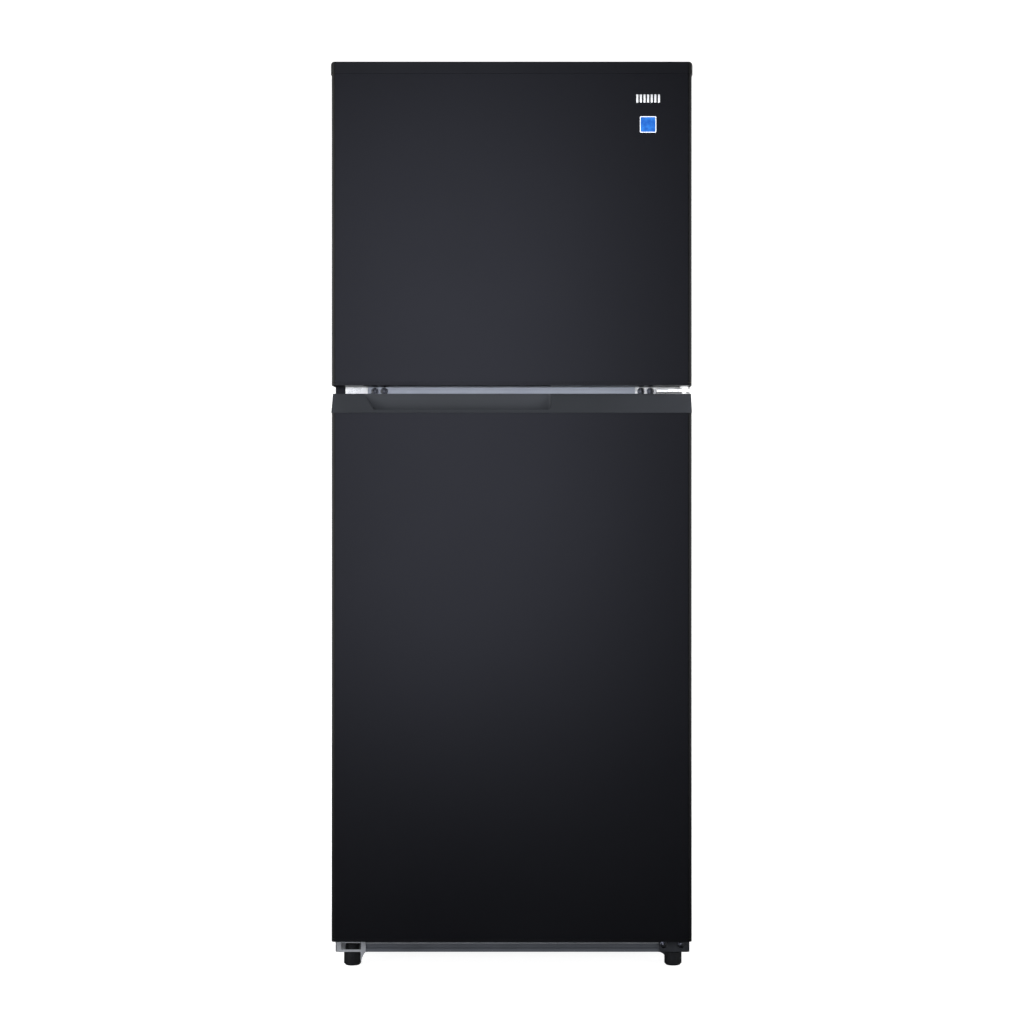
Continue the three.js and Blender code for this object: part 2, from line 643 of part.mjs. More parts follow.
function topCap() {
  const spanZ = [height - capH, height];
  const inZ = [spanZ[0] - 1, height - plastic];
  const floor = spanZ[0] + 2;
  const outer = prism(plan(half, [faceY, rimY], 8.5), "z", spanZ).intersect(
    prism(rect(both(half), spanZ, [0, 0, 6, 6]), "y", [faceY - 1, rimY + 1]),
  );
  const well = [pin.x - 19, faceY + 12.4];
  const housing = block([well[0] - plastic, half + 1], [well[1] - plastic, rimY + 1], grow(spanZ, 2));
  const inner = plan(half - plastic, [faceY + plastic, rimY - plastic], 6);
  const hollow = prism(inner, "z", inZ).subtract(housing);
  return outer
    .subtract(hollow)
    .subtract(block([well[0], half + 1], [well[1], rimY + 1], [floor, height + 1]))
    .add(rod("z", [pin.x, pin.y], 9, [floor - 21, floor], 20))
    .subtract(rod("z", [pin.x, pin.y], pin.r + run, [floor - 20, floor + 1]));
}

// Cap under a door: plate, pin boss and, where asked, a finger pocket open below.
function bottomCap(low, pocket) {
  const plate = prism(plan(bodyHalf, [faceY, rimY], 7), "z", [low, low + shoeH]);
  const boss = rod("z", [pin.x, pin.y], 9, [low + 1, low + 22], 20);
  const bore = rod("z", [pin.x, pin.y], pin.r + run, [low - 1, low + 20]);
  const cap = plate.add(boss).subtract(bore);
  if (!pocket) return cap;
  const cut = prism(rect(grip.x, grip.y, 6), "z", [low - 1, low + grip.deep]);
  const tub = prism(rect(grow(grip.x, plastic), grow(grip.y, plastic), 8), "z", [low, low + grip.deep + 2]);
  return cap.add(tub).subtract(cut);
}

// Finger scoop in the sloped cap, its left end leaning out towards the top.
function scoop(d, low) {
  const [z0, z1] = [fridgeDoor[1] - gripH, fridgeDoor[1] + 1];
  const [left, right] = [grip.x[0] - d, grip.x[1] + d];
  const side = [[left + grip.lean, low], [right, low], [right, z1], [left, z1], [left + grip.lean, z0]];
  const plan = rect([left, right], [grip.y[0] - d, grip.y[1] + d], 6 + d);
  return prism(plan, "z", [low, z1]).intersect(prism(side, "y", both(depth)));
}

function gripCap() {
  const [z0, z1] = [fridgeDoor[1] - gripH, fridgeDoor[1]];
  const slopeY = faceY + grip.back;
  const insideY = rimY - plastic;
  const profile = [[faceY, z0], [rimY, z0], [rimY, z1], [slopeY, z1]];
  const roof = z1 - plastic;
  const hollow = [[faceY + 5, z0 - 1], [insideY, z0 - 1], [insideY, roof], [slopeY + 2, roof]];
  const outer = prism(profile, "x", both(bodyHalf));
  const boss = rod("z", [pin.x, pin.y], 9, [z1 - 22, z1], 20).intersect(outer);
  const below = block(both(half), [faceY - 1, rimY], [z0 - 100, z0 + 0.5]);
  const tub = scoop(2.2, z0 - grip.deep - 2).intersect(outer.add(below));
  return outer
    .subtract(prism(hollow, "x", both(bodyHalf - plastic)))
    .add(boss)
    .add(tub)
    .subtract(scoop(0, z0 - grip.deep))
    .subtract(rod("z", [pin.x, pin.y], pin.r + run, [z1 - 21, z1 + 1]));
}

// Lift-off bin between the dykes of a door liner, at two fractions of the opening's height.
function bin(room, from, to, deep, wall = plastic) {
  const [floor, roof] = grow(room, -11 - dykeW);
  const [low, high] = [from, to].map((v) => floor + v * (roof - floor));
  const [y0, y1] = [rimY + fit, rimY + deep];
  const outer = [[y0, low], [y1 - 8, low], [y1 - 2, low + 8], [y1, high], [y0, high]];
  const inner = [
    [y0 + wall, low + wall], [y1 - 9, low + wall], [y1 - 2 - wall, low + 9],
    [y1 - wall, high + 1], [y0 + wall, high + 1],
  ];
  return prism(outer, "x", both(binHalf)).subtract(prism(inner, "x", both(binHalf - wall)));
}

function freezerDoorFoam() {
  const low = freezerDoor[0] + shoeH + fit;
  const pocket = block(grow(grip.x, 3), grow(grip.y, 3), [0, freezerDoor[0] + grip.deep + 2 + fit]);
  return doorFoam([low, height - capH - fit], freezerRoom)
    .subtract(pocket)
    .subtract(rod("z", [pin.x, pin.y], 9.5, [0, freezerDoor[0] + 22 + fit], 20))
    .subtract(rod("z", [pin.x, pin.y], 9.5, [height - capH - 20, height], 20));
}

function fridgeDoorFoam() {
  const top = fridgeDoor[1] - gripH;
  const pocketY = [faceY, grip.y[1] + 3];
  const pocket = block(grow(grip.x, 3), pocketY, [top - grip.deep - 2 - fit, top + 9]);
  return doorFoam([fridgeDoor[0] + shoeH + fit, top - fit], fridgeRoom)
    .subtract(pocket)
    .subtract(rod("z", [pin.x, pin.y], 9.5, [0, fridgeDoor[0] + 22 + fit], 20));
}

function nameplate() {
  const z = height - 61.5;
  const x = half - 74.5;
  return prism(rect(grow([x, x], 23.5), grow([z, z], 9), 2), "y", [frontY, frontY + badge]);
}

// ---------------------------------------------------------------- assembly
const finishes = {
  black_steel: [0x1c1d20, 0.3, 0.4],
  black_plastic: [0x202124, 0, 0.5],
  grey_steel: [0x8d929b, 0.5, 0.45],
  zinc: [0xc4c8cc, 0.9, 0.35],
  back_sheet: [0xa9adb0, 0.6, 0.5],
  liner_white: [0xf0f2f3, 0, 0.35],
  white_plastic: [0xe9ebec, 0, 0.4],
  clear_plastic: [0xdfe9ee, 0, 0.15],
  shelf_glass: [0xbfd8d2, 0, 0.05],
  foam_yellow: [0xe3d9a8, 0, 0.9],
  gasket_grey: [0x53565b, 0, 0.7],
  badge_satin: [0xd8dade, 0.8, 0.3],
  black_enamel: [0x141414, 0.3, 0.4],
  copper: [0xb87345, 1, 0.35],
  fin_aluminium: [0xc9cdd0, 0.9, 0.4],
};

const group = new THREE.Group();
group.name = "top_freezer_refrigerator";

function add(name, finish, solid) {
  const [color, metalness, roughness] = finishes[finish];
  const material = new THREE.MeshStandardMaterial({ color, metalness, roughness });
  material.name = finish;
  const mesh = new THREE.Mesh(geometryOf(solid), material);
  mesh.name = name;
  group.add(mesh);
}

add("cabinet_shell", "black_steel", cabinetShell());
add("cabinet_back", "back_sheet", cabinetBack());
add("insulation_foam", "foam_yellow", foam());
add("freezer_liner", "liner_white", freezerLiner());
add("fridge_liner", "liner_white", fridgeLiner());
const [centreZ, baseZ] = [grow([railZ, railZ], railHalfH), [railFoot, panelZ - fit]];
add("centre_rail", "grey_steel", rail(flangeHalf - fit, centreZ, 10, grow([railZ, railZ], 2.5)));
add("base_rail", "grey_steel", rail(foot.x - foot.r - 9 - fit, baseZ, 14, grow(baseZ, -6)));
add("bottom_panel", "grey_steel", bottomPanel());
add("foot_bracket_left", "grey_steel", footBracket(-1));
add("foot_bracket_right", "grey_steel", footBracket(1));
add("top_hinge", "zinc", topHinge());
add("top_hinge_cover", "black_plastic", topHingeCover());
add("middle_hinge", "zinc", middleHinge());
add("middle_hinge_blank", "zinc", middleHingeBlank());
add("bottom_hinge", "zinc", bottomHinge());
add("foot_left", "black_plastic", levellingFoot(-1));
add("foot_right", "black_plastic", levellingFoot(1));
add("rear_roller_left", "black_plastic", rearRoller(-1));
add("rear_roller_right", "black_plastic", rearRoller(1));

add("compressor_plate", "grey_steel", compressorPlate());
add("compressor", "black_enamel", compressor());
add("start_relay", "black_plastic", startRelay());
add("evaporation_pan", "black_plastic", evaporationPan());
add("condenser_coil", "copper", condenserCoil());
add("compressor_cover", "back_sheet", compressorCover());
add("cord_gland", "black_plastic", cordGland());

add("evaporator", "fin_aluminium", evaporator());
add("freezer_duct_cover", "liner_white", freezerDuctCover());
add("freezer_air_slider", "white_plastic", freezerAirSlider());
add("fan_motor", "black_plastic", fanMotor());
add("fan_blade", "white_plastic", fanBlade());
add("freezer_shelf", "clear_plastic", freezerShelf());

add("fridge_duct_cover", "liner_white", fridgeDuctCover());
add("control_housing", "white_plastic", controlHousing());
add("lamp_lens", "clear_plastic", lampLens());
add("thermostat_knob", "white_plastic", thermostatKnob());
["lower", "upper"].forEach((place, i) => {
  add(`shelf_${place}`, "shelf_glass", glassShelf(shelfZs[i]));
  add(`shelf_${place}_trim`, "white_plastic", shelfTrim(shelfZs[i]));
});
add("crisper_cover", "white_plastic", crisperCover());
add("crisper_drawer", "clear_plastic", crisperDrawer());

const freezerPanel = [freezerDoor[0] + shoeH + fit, height - capH - fit];
const fridgePanel = [fridgeDoor[0] + shoeH + fit, fridgeDoor[1] - gripH - fit];
add("freezer_door_skin", "black_steel", doorSkin(freezerPanel));
add("freezer_door_foam", "foam_yellow", freezerDoorFoam());
add("freezer_door_liner", "liner_white", doorLiner(freezerPanel, freezerRoom));
add("freezer_door_top_cap", "black_plastic", topCap());
add("freezer_door_bottom_cap", "black_plastic", bottomCap(freezerDoor[0], true));
add("freezer_gasket", "gasket_grey", gasket([freezerDoor[0] + 6, cabinetTop - 7]));
add("freezer_bin_upper", "clear_plastic", bin(freezerRoom, 0.58, 0.79, 68));
add("freezer_bin_lower", "clear_plastic", bin(freezerRoom, 0.04, 0.28, 68));
add("nameplate", "badge_satin", nameplate());

add("fridge_door_skin", "black_steel", doorSkin(fridgePanel));
add("fridge_door_foam", "foam_yellow", fridgeDoorFoam());
add("fridge_door_liner", "liner_white", doorLiner(fridgePanel, fridgeRoom));
add("fridge_door_grip_cap", "black_plastic", gripCap());
add("fridge_door_bottom_cap", "black_plastic", bottomCap(fridgeDoor[0], false));
add("fridge_gasket", "gasket_grey", gasket([fridgeDoor[0] + 6.5, fridgeDoor[1] - 5]));
add("fridge_bin_upper", "clear_plastic", bin(fridgeRoom, 0.74, 0.84, 88));
add("fridge_bin_middle", "clear_plastic", bin(fridgeRoom, 0.38, 0.49, 88));
add("fridge_bin_lower", "clear_plastic", bin(fridgeRoom, 0.02, 0.17, 94));

export default group;
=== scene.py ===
# %% [markdown]
# # A two-door refrigerator with the freezer on top
# The cabinet and doors come from a CAD model in metres, with +Z up and the doors facing -Y. This lesson
# gives each part its finish and the small detail that a CAD solid leaves out. The CAD bodies stay where they
# are, so every new piece is made in its true place and rides on one of them.

import math

import bmesh
import bpy
from mathutils import Matrix, Vector


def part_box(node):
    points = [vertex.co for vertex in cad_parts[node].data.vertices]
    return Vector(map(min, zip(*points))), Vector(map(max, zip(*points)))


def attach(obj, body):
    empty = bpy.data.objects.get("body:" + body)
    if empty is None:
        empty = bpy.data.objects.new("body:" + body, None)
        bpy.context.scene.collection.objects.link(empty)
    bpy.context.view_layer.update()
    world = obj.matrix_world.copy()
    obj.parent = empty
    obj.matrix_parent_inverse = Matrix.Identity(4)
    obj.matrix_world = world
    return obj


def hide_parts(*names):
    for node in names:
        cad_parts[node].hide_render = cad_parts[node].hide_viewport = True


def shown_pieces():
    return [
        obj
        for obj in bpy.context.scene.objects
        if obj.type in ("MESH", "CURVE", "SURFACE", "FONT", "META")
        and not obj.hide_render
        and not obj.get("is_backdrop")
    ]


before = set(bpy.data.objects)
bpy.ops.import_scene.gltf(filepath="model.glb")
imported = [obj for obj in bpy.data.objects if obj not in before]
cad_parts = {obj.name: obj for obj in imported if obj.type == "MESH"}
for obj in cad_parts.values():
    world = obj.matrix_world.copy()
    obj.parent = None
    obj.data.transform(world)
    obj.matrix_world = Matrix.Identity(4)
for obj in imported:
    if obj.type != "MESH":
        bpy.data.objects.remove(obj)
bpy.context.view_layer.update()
MM = 0.001
print("cabinet and doors loaded:", len(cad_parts), "solids")

# %% [markdown]
# ## Colours and shader nodes
# A paint chart gives a colour as a screen value, but a shader wants linear light, so one function turns the
# first into the second. A second short function adds a node, sets its sockets and returns it. That keeps each
# finish below readable as a recipe.


# %% Colour and node helpers
def colour(chart):
    parts = [int(chart[i : i + 2], 16) / 255 for i in (0, 2, 4)]
    return (*[c / 12.92 if c <= 0.04045 else ((c + 0.055) / 1.055) ** 2.4 for c in parts], 1)


def add(tree, kind, sockets=None, **settings):
    made = tree.nodes.new(kind)
    for key, value in settings.items():
        setattr(made, key, value)
    for key, value in (sockets or {}).items():
        if isinstance(value, bpy.types.NodeSocket):
            tree.links.new(value, made.inputs[key])
        else:
            made.inputs[key].default_value = value
    return made


print("satin black in linear light:", [round(c, 4) for c in colour("212226")])

# %% [markdown]
# ## A finish with depth
# No real surface is one flat colour. Rolled paint has a fine orange peel, moulded plastic a spark-eroded
# grain, and both pick up faint patches where hands and cloths have been. The recipe has three layers: a slow
# drift between two close colours, a roughness that wanders a little, and a fine bump whose grain size is
# given in millimetres. Object coordinates are used, so the grain keeps its real size on every piece.


# %% The base recipe
def spots(tree, size_mm, detail=3.0, stretch=(1, 1, 1)):
    where = add(tree, "ShaderNodeTexCoord")
    turn = add(tree, "ShaderNodeMapping", {"Vector": where.outputs["Object"], "Scale": stretch})
    return add(
        tree,
        "ShaderNodeTexNoise",
        {"Vector": turn.outputs["Vector"], "Scale": 1000 / size_mm, "Detail": detail},
    )


def ramp(tree, source, low, high):
    made = add(tree, "ShaderNodeValToRGB", {"Fac": source})
    made.color_ramp.elements[0].color, made.color_ramp.elements[1].color = low, high
    made.color_ramp.elements[0].position, made.color_ramp.elements[1].position = 0.3, 0.7
    return made.outputs["Color"]


def finish(name, main, drift, rough, grain_mm, depth_mm, patch_mm=180, stretch=(1, 1, 1), **sockets):
    mat = bpy.data.materials.new(name)
    mat.use_nodes = True
    tree = mat.node_tree
    shader = tree.nodes["Principled BSDF"]
    patches = spots(tree, patch_mm, 4.0)
    grain = spots(tree, grain_mm, 2.0, stretch)
    gloss = add(
        tree,
        "ShaderNodeMapRange",
        {
            "Value": patches.outputs["Fac"],
            "From Min": 0.3,
            "From Max": 0.7,
            "To Min": rough[0],
            "To Max": rough[1],
        },
    )
    bump = add(
        tree,
        "ShaderNodeBump",
        {"Height": grain.outputs["Fac"], "Strength": 0.6, "Distance": depth_mm * MM},
    )
    paint = ramp(tree, patches.outputs["Fac"], colour(main), colour(drift))
    tree.links.new(paint, shader.inputs["Base Color"])
    tree.links.new(gloss.outputs["Result"], shader.inputs["Roughness"])
    tree.links.new(bump.outputs["Normal"], shader.inputs["Normal"])
    for key, value in sockets.items():
        shader.inputs[key.replace("_", " ")].default_value = value
    return mat


# %% [markdown]
# ## Outer finishes
# The doors and the cabinet wrap are pre-coated steel: a satin black coil coating, which the eye reads as a
# broad, soft reflection over near black with a very fine orange peel. The end caps are moulded in satin black
# plastic to match. The hidden mouldings have a coarser spark-eroded grain. The grip is given a lighter
# charcoal as painted light, for the light that falls on its upward slope.

# %% Steel, caps and fittings
black_coil_steel = finish(
    "satin black coil-coated steel", "020203", "030304", (0.31, 0.34), 1.6, 0.004, 420, IOR=1.5
)
black_cap_abs = finish(
    "satin black end-cap moulding", "030303", "040405", (0.32, 0.36), 0.5, 0.004, 90, IOR=1.5
)
black_grained_abs = finish(
    "spark-grained black moulding", "0c0d0f", "101113", (0.45, 0.55), 0.5, 0.03, 90, IOR=1.53
)
# Painted light: the grip is a lighter charcoal than the black end caps, standing in for the light that falls
# on its upward slope.
grip_moulding_painted_light = finish("grip moulding lightened as painted light", "2f3134", "333539", (0.62, 0.7), 0.5, 0.015, 120, IOR=1.36)
black_smooth_abs = finish("smooth black moulding", "0e0f11", "121315", (0.3, 0.38), 0.8, 0.01, 120, IOR=1.53)
rail_steel = finish(
    "blue-grey coated steel", "a9afbb", "b4bac6", (0.3, 0.38), 0.9, 0.006, 60, Metallic=0.2, IOR=1.5
)
# Painted shade: the base rail is the same blue-grey steel as the centre rail, painted darker for the shade it
# sits in under the fridge door.
rail_steel_painted_shade = finish("blue-grey coated steel with painted shade", "404348", "484b51", (0.4, 0.48), 0.9, 0.006, 60, Metallic=0.2)
# Painted reflection: the middle hinge and its blank are painted near white for the bright reflection of the
# lamps that they show in the door gap.
zinc_painted_reflection = finish("zinc plate with painted reflection", "eef0f1", "f6f7f7", (0.25, 0.32), 2.0, 0.006, 12, Metallic=0.25)
zinc_plate = finish(
    "bright zinc plate", "e6e8ea", "f5f6f6", (0.14, 0.22), 3.0, 0.008, 9, stretch=(1, 1, 6), Metallic=0.9
)
grey_zinc = finish("dull zinc plate", "9a9da1", "a8abaf", (0.34, 0.44), 2.0, 0.01, 12, Metallic=0.6)
# Painted shade: the right foot bracket and the bottom hinge get this darker copy of the dull zinc, for the
# shade on the fridge's right side. The left bracket keeps the lit zinc.
zinc_plate_painted_shade = finish("dull zinc plate with painted shade", "2c2e31", "36383c", (0.3, 0.4), 2.0, 0.01, 14, Metallic=0.6)
galvanised = finish("galvanised steel sheet", "9da2a6", "b9bdc0", (0.36, 0.52), 7.0, 0.01, 12, Metallic=0.85)
screw_steel = finish("passivated screw steel", "8d8f92", "c3c5c8", (0.25, 0.4), 0.7, 0.01, 3, Metallic=1.0)
satin_foil = finish(
    "satin foil badge", "d9dbde", "eceef0", (0.3, 0.36), 0.4, 0.006, 20, stretch=(0.05, 1, 1), Metallic=0.35
)
black_enamel = finish("gloss black stove enamel", "0a0a0a", "111112", (0.12, 0.2), 4.0, 0.05, 60, IOR=1.5)
print("outer finishes:", black_coil_steel.name, "and", black_grained_abs.name)

# %% [markdown]
# ## Inner finishes
# The compartments are vacuum-formed high-impact polystyrene, which is glossy and a little wavy. Bins and the
# drawer are clear general-purpose polystyrene. The shelves are tempered float glass, whose iron shows green
# along the edges. The seals are soft grey vinyl.

# %% Liners, clear parts and seals
liner_white = finish(
    "glossy white vacuum-formed liner", "bfc3c5", "c8cbcc", (0.26, 0.34), 5.0, 0.03, 300, IOR=1.59
)
white_moulding = finish(
    "white injection moulding", "c3c6c7", "cccecf", (0.32, 0.42), 0.8, 0.015, 110, IOR=1.53
)
clear_styrene = finish(
    "clear moulded polystyrene",
    "eef6fa",
    "f6fbfd",
    (0.05, 0.1),
    6.0,
    0.02,
    90,
    IOR=1.59,
    Transmission_Weight=1.0,
)
float_glass = finish(
    "tempered float glass",
    "dff1ea",
    "e8f6f1",
    (0.01, 0.03),
    40.0,
    0.004,
    200,
    IOR=1.52,
    Transmission_Weight=1.0,
)
grey_vinyl = finish("soft grey vinyl seal", "595c61", "62656a", (0.52, 0.66), 0.9, 0.02, 60, IOR=1.54)
rigid_foam = finish("rigid insulating foam", "d8cfa0", "c9bf8d", (0.85, 0.95), 1.4, 0.25, 30)
drawn_copper = finish(
    "drawn copper tube", "b26a45", "c98560", (0.22, 0.4), 1.2, 0.01, 25, stretch=(0.1, 1, 1), Metallic=1.0
)
fin_stock = finish(
    "thin aluminium fin stock", "c4c8ca", "d6d9db", (0.28, 0.42), 2.0, 0.02, 30, Metallic=1.0
)
label_blue = finish("blue printed film", "0b4393", "2268b8", (0.3, 0.36), 1.0, 0.004, 9, IOR=1.5)
label_white = finish("white printed film", "dfe3ea", "e8ebf0", (0.32, 0.38), 1.0, 0.004, 40, IOR=1.5)
print("finishes ready:", len(bpy.data.materials))

# %% [markdown]
# ## Easing the edges of a solid
# CAD leaves every edge knife sharp, and light gives that away. Folded sheet has a small bend radius and a
# moulding has about half a millimetre on its corners. A copy of the solid is welded, its flat facets are
# joined, and a Bevel modifier rounds what is left. The modifier is then turned into a plain mesh.


# %% Copy, ease and mount a solid, or cut a plain bar
def smooth(obj, angle=32):
    obj.data.shade_smooth()
    obj.data.set_sharp_from_angle(angle=math.radians(angle))
    return obj


def as_plain_mesh(obj):
    graph = bpy.context.evaluated_depsgraph_get()
    obj.data, old = bpy.data.meshes.new_from_object(obj.evaluated_get(graph), depsgraph=graph), obj.data
    obj.modifiers.clear()
    bpy.data.meshes.remove(old)
    return obj


def new_piece(name, bm, material=None):
    mesh = bpy.data.meshes.new(name)
    bm.to_mesh(mesh)
    bm.free()
    obj = bpy.data.objects.new(name, mesh)
    bpy.context.scene.collection.objects.link(obj)
    if material:
        mesh.materials.append(material)
    return obj


def welded_copy(node, name, material):
    bm = bmesh.new()
    bm.from_mesh(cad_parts[node].data)
    bmesh.ops.remove_doubles(bm, verts=bm.verts, dist=0.00001)
    bmesh.ops.dissolve_limit(bm, angle_limit=math.radians(0.6), verts=bm.verts, edges=bm.edges)
    piece = new_piece(name, bm)
    piece.data.materials.clear()
    piece.data.materials.append(material)
    return piece


def eased(node, name, material, edge_mm, segments=2):
    piece = smooth(welded_copy(node, name, material))
    bevel = piece.modifiers.new("edge radius", "BEVEL")
    bevel.width, bevel.segments = edge_mm * MM, segments
    bevel.limit_method, bevel.angle_limit = "ANGLE", math.radians(35)
    flat = piece.modifiers.new("flat faces stay flat", "WEIGHTED_NORMAL")
    flat.mode, flat.weight, flat.keep_sharp = "FACE_AREA", 100, True
    return as_plain_mesh(piece)


def bar(name, size, at=(0, 0, 0), material=None, round_mm=0.0):
    """Plain bar with eased edges, sizes and place in millimetres."""
    bm = bmesh.new()
    bmesh.ops.create_cube(bm, size=1)
    bmesh.ops.scale(bm, vec=Vector(size) * MM, verts=bm.verts)
    bmesh.ops.translate(bm, vec=Vector(at) * MM, verts=bm.verts)
    if round_mm:
        bmesh.ops.bevel(bm, geom=bm.edges[:], offset=round_mm * MM, segments=2, affect="EDGES", profile=0.5)
    return new_piece(name, bm, material)


def mount(piece, body, slot=None, *nodes):
    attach(piece, body)
    if nodes:
        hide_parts(*nodes)
    return piece


# %% [markdown]
# ## The parts list
# Most parts only need that easing and their finish. One row each says which solid it comes from, what the
# maker calls it, its finish and its edge radius in millimetres.

# %% Cabinet parts
cabinet_parts = [
    ("cabinet_shell", "wrap_sheet", black_coil_steel, 0.4, "black_steel"),
    ("cabinet_back", "back_sheet", galvanised, 0.2, "back_sheet"),
    ("insulation_foam", "cabinet_foam", rigid_foam, 1.0, "foam_yellow"),
    ("freezer_liner", "freezer_compartment_liner", liner_white, 0.6, "liner_white"),
    ("fridge_liner", "fridge_compartment_liner", liner_white, 0.6, "liner_white"),
    ("centre_rail", "centre_rail_steel", rail_steel, 0.35, "grey_steel"),
    # the base rail's darker steel is painted shade
    ("base_rail", "base_rail_steel", rail_steel_painted_shade, 0.35, "grey_steel"),
    ("bottom_panel", "floor_sheet", galvanised, 0.3, "grey_steel"),
    ("foot_bracket_left", "left_foot_bracket", grey_zinc, 0.3, "grey_steel"),
    # right foot bracket: darker zinc as painted shade
    ("foot_bracket_right", "right_foot_bracket", zinc_plate_painted_shade, 0.3, "grey_steel"),
    ("top_hinge", "top_hinge_plate", zinc_plate, 0.5, "zinc"),
    ("top_hinge_cover", "top_hinge_hood", black_grained_abs, 0.8, "black_plastic"),
    # middle hinge and blank: near white as painted reflection
    ("middle_hinge", "middle_hinge_plate", zinc_painted_reflection, 0.5, "zinc"),
    ("middle_hinge_blank", "spare_hinge_cover", zinc_painted_reflection, 0.6, "zinc"),
    # bottom hinge: darker zinc as painted shade
    ("bottom_hinge", "bottom_hinge_plate", zinc_plate_painted_shade, 0.5, "zinc"),
    ("compressor_plate", "machine_tray", galvanised, 0.3, "grey_steel"),
    ("start_relay", "relay_box", black_smooth_abs, 1.2, "black_plastic"),
    ("evaporation_pan", "drip_pan", black_grained_abs, 0.5, "black_plastic"),
    ("compressor_cover", "machine_cover", galvanised, 0.25, "back_sheet"),
    ("cord_gland", "mains_gland", black_smooth_abs, 0.6, "black_plastic"),
    ("freezer_duct_cover", "cold_air_cover", liner_white, 0.5, "liner_white"),
    ("fan_motor", "fan_motor_can", black_smooth_abs, 0.8, "black_plastic"),
    ("freezer_shelf", "freezer_shelf_moulding", clear_styrene, 0.6, "clear_plastic"),
    ("fridge_duct_cover", "air_column_cover", liner_white, 0.8, "liner_white"),
    ("control_housing", "control_box", white_moulding, 0.8, "white_plastic"),
    ("lamp_lens", "lamp_window", clear_styrene, 0.5, "clear_plastic"),
    ("shelf_lower", "lower_shelf_glass", float_glass, 0.6, "shelf_glass"),
    ("shelf_upper", "upper_shelf_glass", float_glass, 0.6, "shelf_glass"),
    ("shelf_lower_trim", "lower_shelf_edge", white_moulding, 0.5, "white_plastic"),
    ("shelf_upper_trim", "upper_shelf_edge", white_moulding, 0.5, "white_plastic"),
    ("crisper_cover", "drawer_lid", white_moulding, 0.6, "white_plastic"),
]
for node, name, material, edge_mm, slot in cabinet_parts:
    mount(eased(node, name, material, edge_mm), "cabinet", slot, node)
print("cabinet parts eased:", len(cabinet_parts))

# %% Door parts
door_parts = [
    ("door_skin", "front_sheet", black_coil_steel, 0.12, "black_steel"),
    ("door_foam", "foam", rigid_foam, 1.0, "foam_yellow"),
    ("door_liner", "inner_liner", liner_white, 1.5, "liner_white"),
    ("door_bottom_cap", "bottom_cap", black_cap_abs, 0.25, "black_plastic"),
]
for body in ("freezer_door", "fridge_door"):
    for node, name, material, edge_mm, slot in door_parts:
        part = body.replace("_door", "") + "_" + node
        mount(eased(part, body + "_" + name, material, edge_mm), body, slot, part)
mount(
    eased("freezer_door_top_cap", "freezer_door_top_end_cap", black_cap_abs, 0.35, 3),
    "freezer_door", "black_plastic", "freezer_door_top_cap",
)
# The grip's lighter moulding is painted light for its upward slope.
mount(
    eased("fridge_door_grip_cap", "fridge_door_grip", grip_moulding_painted_light, 0.5, 3),
    "fridge_door", "black_plastic", "fridge_door_grip_cap",
)
print("door parts eased:", 2 * len(door_parts) + 2)

# %% Sealing beads between each cap and its sheet
seams = [("freezer_door", "freezer_door_skin", 0), ("freezer_door", "freezer_door_skin", 1),
         ("fridge_door", "fridge_door_skin", 0)]
for body, node, end in seams:
    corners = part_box(node)
    z = corners[end].z / MM + (0.15 if end else -0.15)
    bead = bar(f"{body}_bead_{end}", (586, 1, 0.34), (0, corners[0].y / MM + 0.52, z), black_coil_steel)
    mount(bead, body, "black_steel")
print("sealing beads:", len(seams))

# %% Bins, drawer and knobs
bins = ["freezer_bin_upper", "freezer_bin_lower", "fridge_bin_upper", "fridge_bin_middle", "fridge_bin_lower"]
for node in bins:
    body = node.split("_")[0] + "_door"
    mount(eased(node, node + "_moulding", clear_styrene, 1.0, 3), body, "clear_plastic", node)
mount(
    eased("crisper_drawer", "vegetable_drawer", clear_styrene, 1.0, 3),
    "crisper_drawer", "clear_plastic", "crisper_drawer",
)
mount(
    eased("freezer_air_slider", "air_slide_knob", white_moulding, 0.7),
    "freezer_air_slider", "white_plastic", "freezer_air_slider",
)
for side in ("left", "right"):
    mount(
        eased(f"rear_roller_{side}", f"rear_wheel_{side}", black_smooth_abs, 0.6),
        f"rear_roller_{side}", "black_plastic", f"rear_roller_{side}",
    )
print("bins:", len(bins))

# %% [markdown]
# ## Door seals
# A magnetic seal isn't a square bar. It is a vinyl extrusion with a dart that snaps into the door, a thin
# bellows that stretches, and a flat tube that holds the magnet strip. Its section is pushed round a rectangle
# with corners rounded to an 18 mm radius.


# %% Sweep a section round a rectangle
def swept_frame(name, material, half_x, low_z, high_z, section, radius):
    bm = bmesh.new()
    corners = [(-half_x, low_z), (half_x, low_z), (half_x, high_z), (-half_x, high_z)]
    rows = []
    for i, (x, z) in enumerate(corners):
        turn = [math.pi + (i + k / 4) * math.pi / 2 for k in range(5)]
        cx, cz = x - math.copysign(radius, x), z + (radius if z == low_z else -radius)
        for a in turn:
            rows.append([
                bm.verts.new((cx + (radius - inset) * math.cos(a), y, cz + (radius - inset) * math.sin(a)))
                for inset, y in section
            ])
    for i, row in enumerate(rows):
        after = rows[(i + 1) % len(rows)]
        for j in range(len(row)):
            k = (j + 1) % len(row)
            bm.faces.new((row[j], after[j], after[k], row[k]))
    bmesh.ops.recalc_face_normals(bm, faces=bm.faces)
    return smooth(new_piece(name, bm, material), 50)


